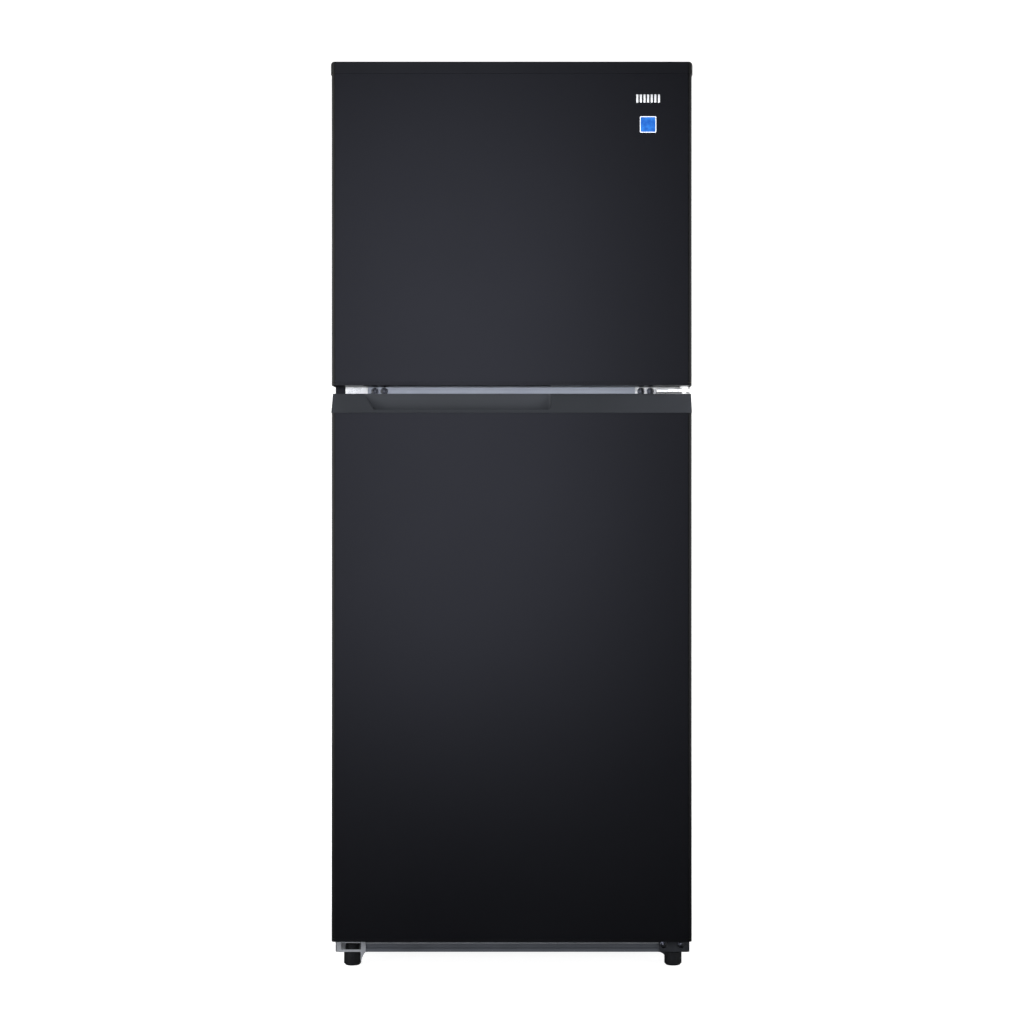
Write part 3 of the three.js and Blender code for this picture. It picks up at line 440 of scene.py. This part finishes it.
# %% Bellows seals on both doors
for body, node in (("freezer_door", "freezer_gasket"), ("fridge_door", "fridge_gasket")):
    low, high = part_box(node)
    y0, y1 = low.y, high.y
    folds = [
        (3.0, y0), (13.0, y0), (13.0, y0 + 1.2 * MM), (9.0, y0 + 1.8 * MM), (14.6, y0 + 3.4 * MM),
        (10.5, y0 + 4.9 * MM), (15.9, y0 + 6.0 * MM), (15.9, y1 - 0.4 * MM), (15.3, y1), (0.7, y1),
        (0.1, y1 - 0.4 * MM), (0.1, y0 + 6.0 * MM), (5.5, y0 + 4.9 * MM), (1.4, y0 + 3.4 * MM),
        (7.0, y0 + 1.8 * MM), (3.0, y0 + 1.2 * MM),
    ]
    section = [(inset * MM, y) for inset, y in folds]
    seal = swept_frame(body + "_seal", grey_vinyl, high.x, low.z, high.z, section, 18 * MM)
    mount(seal, body, "gasket_grey", node)
    print(seal.name, "section points:", len(section))

# %% [markdown]
# ## Geometry Nodes for what repeats
# Screws, louvres, fins and the grip ribs of the feet are one small piece made many times. A node tree places
# copies: one tree along a line, one round a ring, and one on loose points that carry their own direction.
# Each ends in Realize Instances, so the copies become real faces.


# %% The three placing trees
def start_tree(name, inputs):
    tree = bpy.data.node_groups.new(name, "GeometryNodeTree")
    tree.interface.new_socket("Geometry", in_out="INPUT", socket_type="NodeSocketGeometry")
    ids = {}
    for label, kind, default in inputs:
        made = tree.interface.new_socket(label, in_out="INPUT", socket_type="NodeSocket" + kind)
        if default is not None:
            made.default_value = default
        ids[label] = made.identifier
    tree.interface.new_socket("Geometry", in_out="OUTPUT", socket_type="NodeSocketGeometry")
    return tree, add(tree, "NodeGroupInput"), ids


def end_tree(tree, inlet, points, turn=None):
    piece = add(tree, "GeometryNodeObjectInfo", {"Object": inlet.outputs["Piece"]})
    copies = add(
        tree, "GeometryNodeInstanceOnPoints", {"Points": points, "Instance": piece.outputs["Geometry"]}
    )
    if turn:
        tree.links.new(turn, copies.inputs["Rotation"])
    real = add(tree, "GeometryNodeRealizeInstances", {"Geometry": copies.outputs["Instances"]})
    coat = add(
        tree,
        "GeometryNodeSetMaterial",
        {"Geometry": real.outputs["Geometry"], "Material": inlet.outputs["Finish"]},
    )
    add(tree, "NodeGroupOutput", {"Geometry": coat.outputs["Geometry"]})


line_tree, inlet, line_ids = start_tree(
    "copies in a line",
    [
        ("Piece", "Object", None),
        ("Count", "Int", 5),
        ("Start", "Vector", None),
        ("Step", "Vector", None),
        ("Finish", "Material", None),
    ],
)
line = add(
    line_tree,
    "GeometryNodeMeshLine",
    {
        "Count": inlet.outputs["Count"],
        "Start Location": inlet.outputs["Start"],
        "Offset": inlet.outputs["Step"],
    },
)
end_tree(line_tree, inlet, line.outputs["Mesh"])

ring_tree, inlet, ring_ids = start_tree(
    "copies in a ring",
    [
        ("Piece", "Object", None),
        ("Count", "Int", 12),
        ("Radius", "Float", 0.01),
        ("Centre", "Vector", None),
        ("Finish", "Material", None),
    ],
)
ring = add(
    ring_tree,
    "GeometryNodeMeshCircle",
    {"Vertices": inlet.outputs["Count"], "Radius": inlet.outputs["Radius"]},
)
outward = add(
    ring_tree,
    "FunctionNodeAlignRotationToVector",
    {"Vector": add(ring_tree, "GeometryNodeInputPosition").outputs["Position"]},
    axis="X",
)
kept = add(
    ring_tree,
    "GeometryNodeStoreNamedAttribute",
    {"Geometry": ring.outputs["Mesh"], "Name": "turn", "Value": outward.outputs["Rotation"]},
    data_type="QUATERNION",
)
moved = add(
    ring_tree,
    "GeometryNodeTransform",
    {"Geometry": kept.outputs["Geometry"], "Translation": inlet.outputs["Centre"]},
)
stored = add(ring_tree, "GeometryNodeInputNamedAttribute", {"Name": "turn"}, data_type="QUATERNION")
end_tree(ring_tree, inlet, moved.outputs["Geometry"], stored.outputs["Attribute"])

spot_tree, inlet, spot_ids = start_tree(
    "copies on marked points", [("Piece", "Object", None), ("Finish", "Material", None)]
)
facing = add(spot_tree, "GeometryNodeInputNamedAttribute", {"Name": "facing"}, data_type="FLOAT_VECTOR")
aim = add(spot_tree, "FunctionNodeAlignRotationToVector", {"Vector": facing.outputs["Attribute"]}, axis="Z")
end_tree(spot_tree, inlet, inlet.outputs["Geometry"], aim.outputs["Rotation"])
print("placing trees:", line_tree.name, "/", ring_tree.name, "/", spot_tree.name)


# %% Run a tree and keep the result
def run_tree(name, tree, ids, values, points=(), facing=None):
    mesh = bpy.data.meshes.new(name)
    mesh.from_pydata([Vector(p) * MM for p in points], [], [])
    if facing:
        mesh.attributes.new("facing", "FLOAT_VECTOR", "POINT")
        mesh.attributes["facing"].data.foreach_set("vector", [c for _ in points for c in facing])
    obj = bpy.data.objects.new(name, mesh)
    bpy.context.scene.collection.objects.link(obj)
    copies = obj.modifiers.new("copies", "NODES")
    copies.node_group = tree
    for label, value in values.items():
        copies[ids[label]] = value
    return smooth(as_plain_mesh(obj))


def lathe(name, profile, sides, material=None):
    """Turned piece round Z from (radius, height) in millimetres, closed on the axis at both ends."""
    bm = bmesh.new()
    rows = []
    for r, z in profile:
        if r == 0:
            rows.append([bm.verts.new((0, 0, z * MM))])
        else:
            angles = [2 * math.pi * i / sides for i in range(sides)]
            rows.append([bm.verts.new((r * MM * math.cos(a), r * MM * math.sin(a), z * MM)) for a in angles])
    for low, high in zip(rows, rows[1:]):
        for i in range(sides):
            j = (i + 1) % sides
            face = [low[i % len(low)], low[j % len(low)], high[j % len(high)], high[i % len(high)]]
            bm.faces.new(list(dict.fromkeys(face)))
    bmesh.ops.recalc_face_normals(bm, faces=bm.faces)
    return new_piece(name, bm, material)


def cut(piece, cutter):
    taken = piece.modifiers.new("cut", "BOOLEAN")
    taken.object, taken.operation, taken.solver = cutter, "DIFFERENCE", "EXACT"
    as_plain_mesh(piece)
    bpy.data.objects.remove(cutter)
    return piece


# %% [markdown]
# ## Screws and hinge bolts
# A pan-head screw is a turned dome with a cross cut into it. A hinge bolt is a hexagon on a flange washer.
# Each is made once at the origin, then the marked-points tree sets it down wherever a real one holds
# something. A rolled bead stiffens the base rail.

# %% Make one of each and place them
pan_screw = lathe(
    "pan_screw", [(0, -1), (2, -1), (2, 0), (3.9, 0), (4.0, 0.5), (3.6, 1.4), (2.4, 2.1), (0, 2.4)], 20
)
for size in ((1.1, 4.4, 2.6), (4.4, 1.1, 2.6)):
    cut(pan_screw, bar("cross", size, (0, 0, 2.3)))
hinge_bolt = lathe(
    "hinge_bolt", [(0, -1), (3, -1), (3, 0), (6.2, 0), (6.2, 0.7), (4.3, 1.1), (4.3, 1.2)], 24
)
bm = bmesh.new()
bm.from_mesh(hinge_bolt.data)
bmesh.ops.holes_fill(bm, edges=[e for e in bm.edges if e.is_boundary])
hex_r, hex_h = 4.2 * MM, 2.6 * MM
hexagon = bmesh.ops.create_cone(
    bm,
    cap_ends=True,
    segments=6,
    radius1=hex_r,
    radius2=hex_r,
    depth=hex_h,
    matrix=Matrix.Translation((0, 0, hex_h)),
)
hex_edges = list({e for v in hexagon["verts"] for e in v.link_edges})
bmesh.ops.bevel(bm, geom=hex_edges, offset=0.25 * MM, segments=2, affect="EDGES", profile=0.5)
bmesh.ops.recalc_face_normals(bm, faces=bm.faces)
bm.to_mesh(hinge_bolt.data)
bm.free()

mid_low, mid_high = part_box("middle_hinge")
cover_low, cover_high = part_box("compressor_cover")
bolt_z = (mid_low.z + mid_high.z) / 2 / MM + 1.2
base_bolt_z = 38
rail_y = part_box("centre_rail")[0].y / MM
hinge_y = rail_y - 2.8
sill_low, sill_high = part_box("base_rail")
sill_bead = bar(
    "base_rail_bead",
    ((sill_high.x - sill_low.x) / MM - 2, 1.6, 1.6),
    (0, sill_low.y / MM - 0.1, 40.3),
    grey_zinc,
    0.7,
)
mount(smooth(sill_bead), "cabinet", "grey_steel")
screw_sets = [
    ("hinge_leaf_bolts", hinge_bolt, [(x, hinge_y, bolt_z) for x in (217.5, 233.5)], (0, -1, 0)),
    ("spare_hole_bolts", hinge_bolt, [(x, rail_y, bolt_z) for x in (-233.5, -217.5)], (0, -1, 0)),
    ("bottom_hinge_bolts", hinge_bolt, [(x, hinge_y, base_bolt_z) for x in (256, 286)], (0, -1, 0)),
    (
        "machine_cover_screws",
        pan_screw,
        [(x, cover_high.y / MM, z) for x in (-275, -90, 90, 275) for z in (70, 298)],
        (0, 1, 0),
    ),
]
for name, piece, points, way in screw_sets:
    made = run_tree(name, spot_tree, spot_ids, {"Piece": piece, "Finish": screw_steel}, points, way)
    mount(made, "cabinet", "zinc")
    print(name, len(points))


# %% [markdown]
# ## Levelling feet
# Each foot is a moulded knob that is turned by hand, so its rim carries fine ribs. The body is a turned piece
# with a collar and a threaded stud. The ribs are copies round a ring, and thread crests are copies up a line.

# %% Knob, ribs and thread
for side in ("left", "right"):
    low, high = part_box(f"foot_{side}")
    centre = (low + high) / 2
    at = Vector((centre.x, centre.y, 0))
    core = lathe(
        f"foot_{side}_knob",
        [
            (0, 0), (11.6, 0), (12.6, 0.6), (13.2, 2), (14.2, 3), (14.3, 22.6), (13.6, 23.5), (12, 23.5),
            (12, 35.5), (11.4, 36), (4, 36), (3.4, 36.4), (3.4, 53.6), (3, 54), (0, 54),
        ],
        48,
        black_grained_abs,
    )
    core.data.transform(Matrix.Translation(at))
    rib = bar("rib", (1.3, 0.9, 20), (-0.2, 0, 12.8), round_mm=0.3)
    ribs = run_tree(
        f"foot_{side}_ribs", ring_tree, ring_ids,
        {"Piece": rib, "Count": 36, "Radius": 14.3 * MM, "Centre": at, "Finish": black_grained_abs},
    )
    crest = lathe("crest", [(3.2, -0.5), (4.0, -0.1), (4.0, 0.1), (3.2, 0.5), (3.2, -0.5)], 20)
    thread = run_tree(
        f"foot_{side}_thread", line_tree, line_ids,
        {
            "Piece": crest,
            "Count": 13,
            "Start": at + Vector((0, 0, 37.2 * MM)),
            "Step": (0, 0, 1.25 * MM),
            "Finish": zinc_plate,
        },
    )
    mount(smooth(core), f"foot_{side}", "black_plastic", f"foot_{side}")
    mount(ribs, f"foot_{side}", "black_plastic")
    mount(thread, f"foot_{side}", "zinc")
    for once in (rib, crest):
        bpy.data.objects.remove(once)
print("feet: 36 ribs each")

# %% [markdown]
# ## Louvres and fins
# The machine cover is pierced and each slot keeps a half-pressed hood that sheds dust. The evaporator is a
# pack of thin fins on a serpentine tube. Both are rows of one piece, so the line tree makes them.

# %% Louvre hoods
hood_bm = bmesh.new()
arc = [(0, 0), (0.8, 1.6), (2.4, 2.8), (4.8, 3.2), (4.8, 2.5), (2.8, 2.1), (1.5, 1.2), (0.9, 0)]
ends = [
    [hood_bm.verts.new((x * MM, y * MM, (z - 1.0) * MM)) for z, y in arc]
    for x in (-74, 74)
]
for j in range(len(arc)):
    k = (j + 1) % len(arc)
    hood_bm.faces.new((ends[0][j], ends[1][j], ends[1][k], ends[0][k]))
hood_bm.faces.new(ends[0][::-1])
hood_bm.faces.new(ends[1])
bmesh.ops.recalc_face_normals(hood_bm, faces=hood_bm.faces)
hood = new_piece("hood", hood_bm)
first_slot = cover_low.z + 42 * MM
for side, sign in (("left", -1), ("right", 1)):
    start = (sign * 125 * MM, cover_high.y, first_slot + 7.5 * MM)
    hoods = run_tree(
        f"louvres_{side}", line_tree, line_ids,
        {"Piece": hood, "Count": 9, "Start": start, "Step": (0, 0, 20 * MM), "Finish": galvanised},
    )
    mount(hoods, "cabinet", "back_sheet")
bpy.data.objects.remove(hood)
print("louvre hoods: 2 rows of 9")

# %% Evaporator fins and tube
ev_low, ev_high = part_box("evaporator")
depth, tall = (ev_high.y - ev_low.y) / MM, (ev_high.z - ev_low.z) / MM
fin = bar("fin", (0.35, depth, tall))
mid = (ev_low + ev_high) / 2
fins = run_tree(
    "evaporator_fins", line_tree, line_ids,
    {
        "Piece": fin,
        "Count": 57,
        "Start": (ev_low.x + 9 * MM, mid.y, mid.z),
        "Step": (7 * MM, 0, 0),
        "Finish": fin_stock,
    },
)
mount(fins, "cabinet", "fin_aluminium", "evaporator")
bpy.data.objects.remove(fin)
print("evaporator fins: 57")


# %% [markdown]
# ## Bent tube
# The condenser and the evaporator are one long tube bent to and fro. A curve with a round bevel follows the
# bends more smoothly than joined cylinders, and it is turned into a mesh when its route is right.


# %% Tube along a route
def tube(name, points, radius_mm, material, ends=True):
    curve = bpy.data.curves.new(name, "CURVE")
    curve.dimensions, curve.bevel_depth, curve.bevel_resolution = "3D", radius_mm * MM, 4
    curve.use_fill_caps = ends
    spline = curve.splines.new("POLY")
    spline.points.add(len(points) - 1)
    for p, q in zip(spline.points, points):
        p.co = (*q, 1)
    drawn = bpy.data.objects.new(name, curve)
    bpy.context.scene.collection.objects.link(drawn)
    graph = bpy.context.evaluated_depsgraph_get()
    mesh = bpy.data.meshes.new_from_object(drawn.evaluated_get(graph), depsgraph=graph)
    bpy.data.objects.remove(drawn)
    mesh.materials.clear()
    mesh.materials.append(material)
    obj = bpy.data.objects.new(name, mesh)
    bpy.context.scene.collection.objects.link(obj)
    return smooth(obj, 60)


def serpentine(x0, x1, start, step, rows, pitch):
    """Rows along X joined by half-round bends; step is the unit way from one row to the next."""
    points, at = [Vector((x0, *start))], Vector((0, *start))
    for i in range(rows):
        end = x1 if i % 2 == 0 else x0
        if i == rows - 1:
            points.append(Vector((end, at.y, at.z)))
            break
        out = 1 if i % 2 == 0 else -1
        for k in range(9):
            a = -math.pi / 2 + k * math.pi / 8
            shift = Vector((0, *step)) * (pitch / 2) * (1 + math.sin(a))
            points.append(Vector((end + out * pitch / 2 * math.cos(a), at.y, at.z)) + shift)
        at = at + Vector((0, *step)) * pitch
    return points


# %% Condenser and evaporator tubes
tube_r = 3.5
pitch = 34 * MM
far_x, near_x, first_y = -260 * MM, -15 * MM, 154 * MM
first_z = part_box("condenser_coil")[0].z + tube_r * MM
lower = serpentine(far_x, near_x, (first_y, first_z), (1, 0), 5, pitch)
top_y = lower[-1].y
turn = [
    Vector((near_x + pitch / 2 * math.cos(a), top_y, lower[-1].z + pitch / 2 * (1 + math.sin(a))))
    for a in [-math.pi / 2 + k * math.pi / 8 for k in range(1, 8)]
]
upper = serpentine(near_x, far_x, (top_y, lower[-1].z + pitch), (-1, 0), 5, pitch)
coil = tube("condenser_tube", lower + turn + upper, tube_r, drawn_copper)
mount(coil, "cabinet", "copper", "condenser_coil")
refrigerant = serpentine(-190 * MM, 190 * MM, (mid.y, ev_low.z + 20 * MM), (0, 1), 6, 30 * MM)
mount(tube("evaporator_tube", refrigerant, 4, fin_stock), "cabinet", "fin_aluminium")
print("condenser points:", len(lower + turn + upper))


# %% [markdown]
# ## Compressor and fan
# The compressor is a pressed can in two halves with a weld seam, on rubber grommets. The fan is a hub with
# five twisted blades, thicker at the root.

# %% Compressor can
mount(eased("compressor", "compressor_can", black_enamel, 0.8), "cabinet", "black_enamel", "compressor")

# %% Twisted fan blades
fan_low, fan_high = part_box("fan_blade")
motor_low, motor_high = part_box("fan_motor")
hub = Vector((0, (fan_low.y + fan_high.y) / 2, (motor_low.z + motor_high.z) / 2))
bm = bmesh.new()
for i in range(5):
    rows = []
    for k in range(9):
        reach = (12 + 36 * k / 8) * MM
        pitch_angle = math.radians(52 - 26 * k / 8)
        chord = (8 + 5.5 * math.sin(math.pi * (0.25 + 0.6 * k / 8))) * MM
        thick = (1.1 - 0.5 * k / 8) * MM
        ring_points = []
        for s, t in ((-1, 0), (-0.5, 1), (0.5, 1), (1, 0), (0.5, -1), (-0.5, -1)):
            u, v = s * chord, t * thick
            x = u * math.cos(pitch_angle) - v * math.sin(pitch_angle)
            y = u * math.sin(pitch_angle) * 0.62 + v * math.cos(pitch_angle)
            ring_points.append(Vector((x, y, reach)))
        rows.append(ring_points)
    turn_to = Matrix.Translation(hub) @ Matrix.Rotation(i * 2 * math.pi / 5, 4, "Y")
    made = [[bm.verts.new(turn_to @ p) for p in row] for row in rows]
    for low_row, high_row in zip(made, made[1:]):
        for j in range(6):
            k = (j + 1) % 6
            bm.faces.new((low_row[j], low_row[k], high_row[k], high_row[j]))
    bm.faces.new(made[0][::-1])
    bm.faces.new(made[-1])
bmesh.ops.recalc_face_normals(bm, faces=bm.faces)
blades = smooth(new_piece("fan_blades", bm, white_moulding), 40)
boss = lathe(
    "fan_hub",
    [
        (2.9, -8), (13.6, -8), (15, -6.6), (15, 7.6), (14.4, 8), (12.6, 8), (12.2, -5), (6, -5), (6, 7),
        (2.9, 7), (2.9, -8),
    ],
    36,
    white_moulding,
)
boss.data.transform(Matrix.Translation(hub) @ Matrix.Rotation(-math.pi / 2, 4, "X"))
mount(blades, "fan_blade", "white_plastic", "fan_blade")
mount(smooth(boss), "fan_blade", "white_plastic")
print("fan: 5 blades")

# %% [markdown]
# ## Thermostat knob
# The knob has a finger bar across it and a ring of grip flutes. Raised dots on the control box round it mark
# the settings without any lettering.

# %% Knob with flutes and setting dots
kn_low, kn_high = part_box("thermostat_knob")
kx, kz = (kn_low.x + kn_high.x) / 2, (kn_low.z + kn_high.z) / 2
face_y = kn_low.y + 14 * MM
dial = lathe(
    "thermostat_dial",
    [(0, -12), (4, -12), (4, 0.3), (14.2, 0.3), (14.4, 1), (13.6, 8.4), (12.8, 9), (0, 9)],
    48,
    white_moulding,
)
dial.data.transform(Matrix.Translation((kx, face_y, kz)) @ Matrix.Rotation(math.pi / 2, 4, "X"))
grip_at = (kx / MM, face_y / MM - 11, kz / MM)
grip_bar = bar("thermostat_finger_bar", (5, 5.6, 25), grip_at, white_moulding, 1.0)
mount(smooth(dial), "thermostat_knob", "white_plastic", "thermostat_knob")
mount(smooth(grip_bar), "thermostat_knob", "white_plastic")
flute = bar("flute", (1.2, 1.2, 6), round_mm=0.3)
flutes = run_tree(
    "thermostat_flutes", ring_tree, ring_ids,
    {"Piece": flute, "Count": 28, "Radius": 14 * MM, "Centre": (0, 0, 4.6 * MM), "Finish": white_moulding},
)
flutes.data.transform(Matrix.Translation((kx, face_y, kz)) @ Matrix.Rotation(math.pi / 2, 4, "X"))
mount(flutes, "thermostat_knob", "white_plastic")
dot = lathe("dot", [(0, -0.5), (1.1, -0.5), (1.1, 0.1), (0.8, 0.5), (0, 0.6)], 16)
dot_ring = 17.6
settings = [math.radians(-45 + 45 * k) for k in range(7)]
dot_places = [
    (kx / MM + dot_ring * math.cos(a), face_y / MM, kz / MM + dot_ring * math.sin(a)) for a in settings
]
dot_values = {"Piece": dot, "Finish": black_smooth_abs}
dots = run_tree("setting_dots", spot_tree, spot_ids, dot_values, dot_places, (0, -1, 0))
mount(dots, "cabinet", "black_plastic")
for once in (flute, dot):
    bpy.data.objects.remove(once)
print("knob at", round(kx, 4), round(kz, 4))

# %% [markdown]
# ## Badge and printed label
# A small badge and a square printed film sit near the freezer door's top right corner. Neither carries a
# word: the badge is a dark plate with a row of equal satin bars on it, and the film is a blue square with a
# white border, two thin rounded plates one on the other.


# %% Printed film
def rounded_plate(name, centre, half_w, half_h, radius, y_front, y_back, material):
    bm = bmesh.new()
    outline = []
    for i, (sx, sz) in enumerate(((1, 1), (-1, 1), (-1, -1), (1, -1))):
        for k in range(7):
            a = i * math.pi / 2 + k * math.pi / 12
            x = centre[0] + sx * (half_w - radius) + radius * math.cos(a)
            z = centre[1] + sz * (half_h - radius) + radius * math.sin(a)
            outline.append((x, z))
    rows = [[bm.verts.new((x * MM, y * MM, z * MM)) for x, z in outline] for y in (y_front, y_back)]
    for i in range(len(outline)):
        j = (i + 1) % len(outline)
        bm.faces.new((rows[0][i], rows[0][j], rows[1][j], rows[1][i]))
    bm.faces.new(rows[0])
    bm.faces.new(rows[1][::-1])
    bmesh.ops.recalc_face_normals(bm, faces=bm.faces)
    return smooth(new_piece(name, bm, material))


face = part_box("freezer_door_skin")[0].y / MM
film_at = (226.9, 1415.4)
edge, ink = 13.5, 12.3
film = rounded_plate("film_border", film_at, edge, edge, 1.5, face - 0.12, face, label_white)
print_area = rounded_plate("film_print", film_at, ink, ink, 1.0, face - 0.2, face - 0.1, label_blue)
for piece in (film, print_area):
    mount(piece, "freezer_door")
print("label square:", 2 * edge, "mm")

# %% Badge bars
badge_low, badge_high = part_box("nameplate")
badge_at = (badge_low + badge_high) / 2 / MM
badge_front, badge_back = badge_low.y / MM + 0.2, badge_high.y / MM
badge = rounded_plate(
    "badge_plate", (badge_at.x, badge_at.z), 23.5, 9, 2, badge_front, badge_back, black_cap_abs
)
mount(badge, "freezer_door", "badge_satin", "nameplate")
stroke = bar("stroke", (3.4, 0.3, 13.5), round_mm=0.1)
strokes = run_tree(
    "badge_bars", line_tree, line_ids,
    {
        "Piece": stroke,
        "Count": 7,
        "Start": ((badge_at.x - 18) * MM, badge_low.y + 0.16 * MM, badge_at.z * MM),
        "Step": (6 * MM, 0, 0),
        "Finish": satin_foil,
    },
)
mount(strokes, "freezer_door", "badge_satin")
bpy.data.objects.remove(stroke)
print("badge bars: 7")

# %% Clear away the patterns
for once in (pan_screw, hinge_bolt):
    bpy.data.objects.remove(once)

# %% [markdown]
# ## Studio
# The room is a white sweep with one tall soft box behind the camera, a little left of it, that lays a broad
# glow over the upper doors and lets the foot of the fridge fall off to black. Three fills light pale parts
# without a reflection. Panels beside the doors draw their rounded edges, and strips behind the door plane
# draw the sides. The sweep is kept out of reflections. A plain wall stands all round at nine metres, so that
# the room is white from every side. It gives no light.

# %% Floor sweep and world
bm = bmesh.new()
sweep = [(-9, 0), (2.2, 0)] + [
    (2.2 + 2.5 * math.sin(a), 2.5 * (1 - math.cos(a))) for a in [k * math.pi / 24 for k in range(1, 13)]
] + [(4.7, 9)]
rows = [[bm.verts.new((x, y, z)) for x in (-12, 12)] for y, z in sweep]
for a, b in zip(rows, rows[1:]):
    bm.faces.new((a[0], a[1], b[1], b[0]))
white_sweep = bpy.data.materials.new("white paper sweep")
white_sweep.use_nodes = True
paper = white_sweep.node_tree.nodes["Principled BSDF"]
paper.inputs["Base Color"].default_value = (0.3, 0.3, 0.3, 1)
paper.inputs["Roughness"].default_value = 0.9
paper.inputs["Emission Color"].default_value = (1, 1, 1, 1)
paper.inputs["Emission Strength"].default_value = 0.9
floor = smooth(new_piece("floor_sweep", bm, white_sweep), 60)
floor.visible_glossy = False
floor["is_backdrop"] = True

bm = bmesh.new()
rim = [(9 * math.sin(k * math.pi / 32), 9 * math.cos(k * math.pi / 32)) for k in range(64)]
rows = [[bm.verts.new((x, y, z)) for x, y in rim] for z in (0, 14)]
for i in range(64):
    j = (i + 1) % 64
    bm.faces.new((rows[0][i], rows[0][j], rows[1][j], rows[1][i]))
horizon = smooth(new_piece("horizon", bm, white_sweep), 60)
horizon.visible_diffuse = horizon.visible_glossy = False
horizon.visible_transmission = horizon.visible_shadow = False
horizon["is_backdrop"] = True

world = bpy.data.worlds.new("studio")
world.use_nodes = True
world.node_tree.nodes["Background"].inputs["Color"].default_value = (0.75, 0.8, 0.9, 1)
world.node_tree.nodes["Background"].inputs["Strength"].default_value = 0.012
bpy.context.scene.world = world
bpy.context.scene.view_settings.view_transform = "Standard"


# %% Soft boxes
def soft_box(name, place, target, width, height, power, tint="ffffff"):
    lamp = bpy.data.lights.new(name, "AREA")
    lamp.shape, lamp.size, lamp.size_y, lamp.energy = "RECTANGLE", width, height, power
    lamp.color = colour(tint)[:3]
    obj = bpy.data.objects.new(name, lamp)
    obj.location = place
    obj.rotation_mode = "QUATERNION"
    obj.rotation_quaternion = (Vector(target) - Vector(place)).to_track_quat("-Z", "Y")
    obj.visible_camera = False
    bpy.context.scene.collection.objects.link(obj)
    return obj


soft_box("key_box", (-0.315, -3.95, 1.198), (-0.315, 0, 1.198), 1.142, 2.19, 15.6, "e2e6ff")
for sign, edge_power in ((-1, 26), (1, 14)):
    fill = soft_box("front_fill", (sign * 2.4, -1.9, 1.1), (0, -0.3, 0.9), 0.8, 2.2, 55)
    fill.visible_glossy = False
    soft_box("edge_panel", (sign * 2.7, -1.9, 1.1), (sign * 0.3, -0.3, 0.9), 2.6, 2.2, edge_power)
    soft_box("side_strip", (sign * 2.9, 1.5, 1.1), (sign * 0.3, 0.2, 0.9), 1.8, 2.2, 36)
gap_fill = soft_box("gap_fill", (0, -3.7, 0.97), (0, 0, 0.97), 2.4, 0.6, 70)
gap_fill.visible_glossy = False
soft_box("top_box", (0, 2.1, 3.4), (0, 1.2, 0), 4.0, 3.4, 120)
soft_box("back_box", (0.8, 3.4, 2.6), (0, 0, 0.8), 2.2, 2.2, 60)

# %% Camera
lens = bpy.data.cameras.new("camera")
lens.sensor_width, lens.lens, lens.shift_x = 36, 74.0, -0.0466
camera = bpy.data.objects.new("camera", lens)
camera.location = (0.08, -0.3344 - 3.5, 0.771)
camera.rotation_euler = (math.pi / 2, 0, 0)
bpy.context.scene.collection.objects.link(camera)
bpy.context.scene.camera = camera

# %% Sizes
bpy.context.view_layer.update()
triangles = sum(len(p.vertices) - 2 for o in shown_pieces() if o.type == "MESH" for p in o.data.polygons)
print("triangles:", triangles)
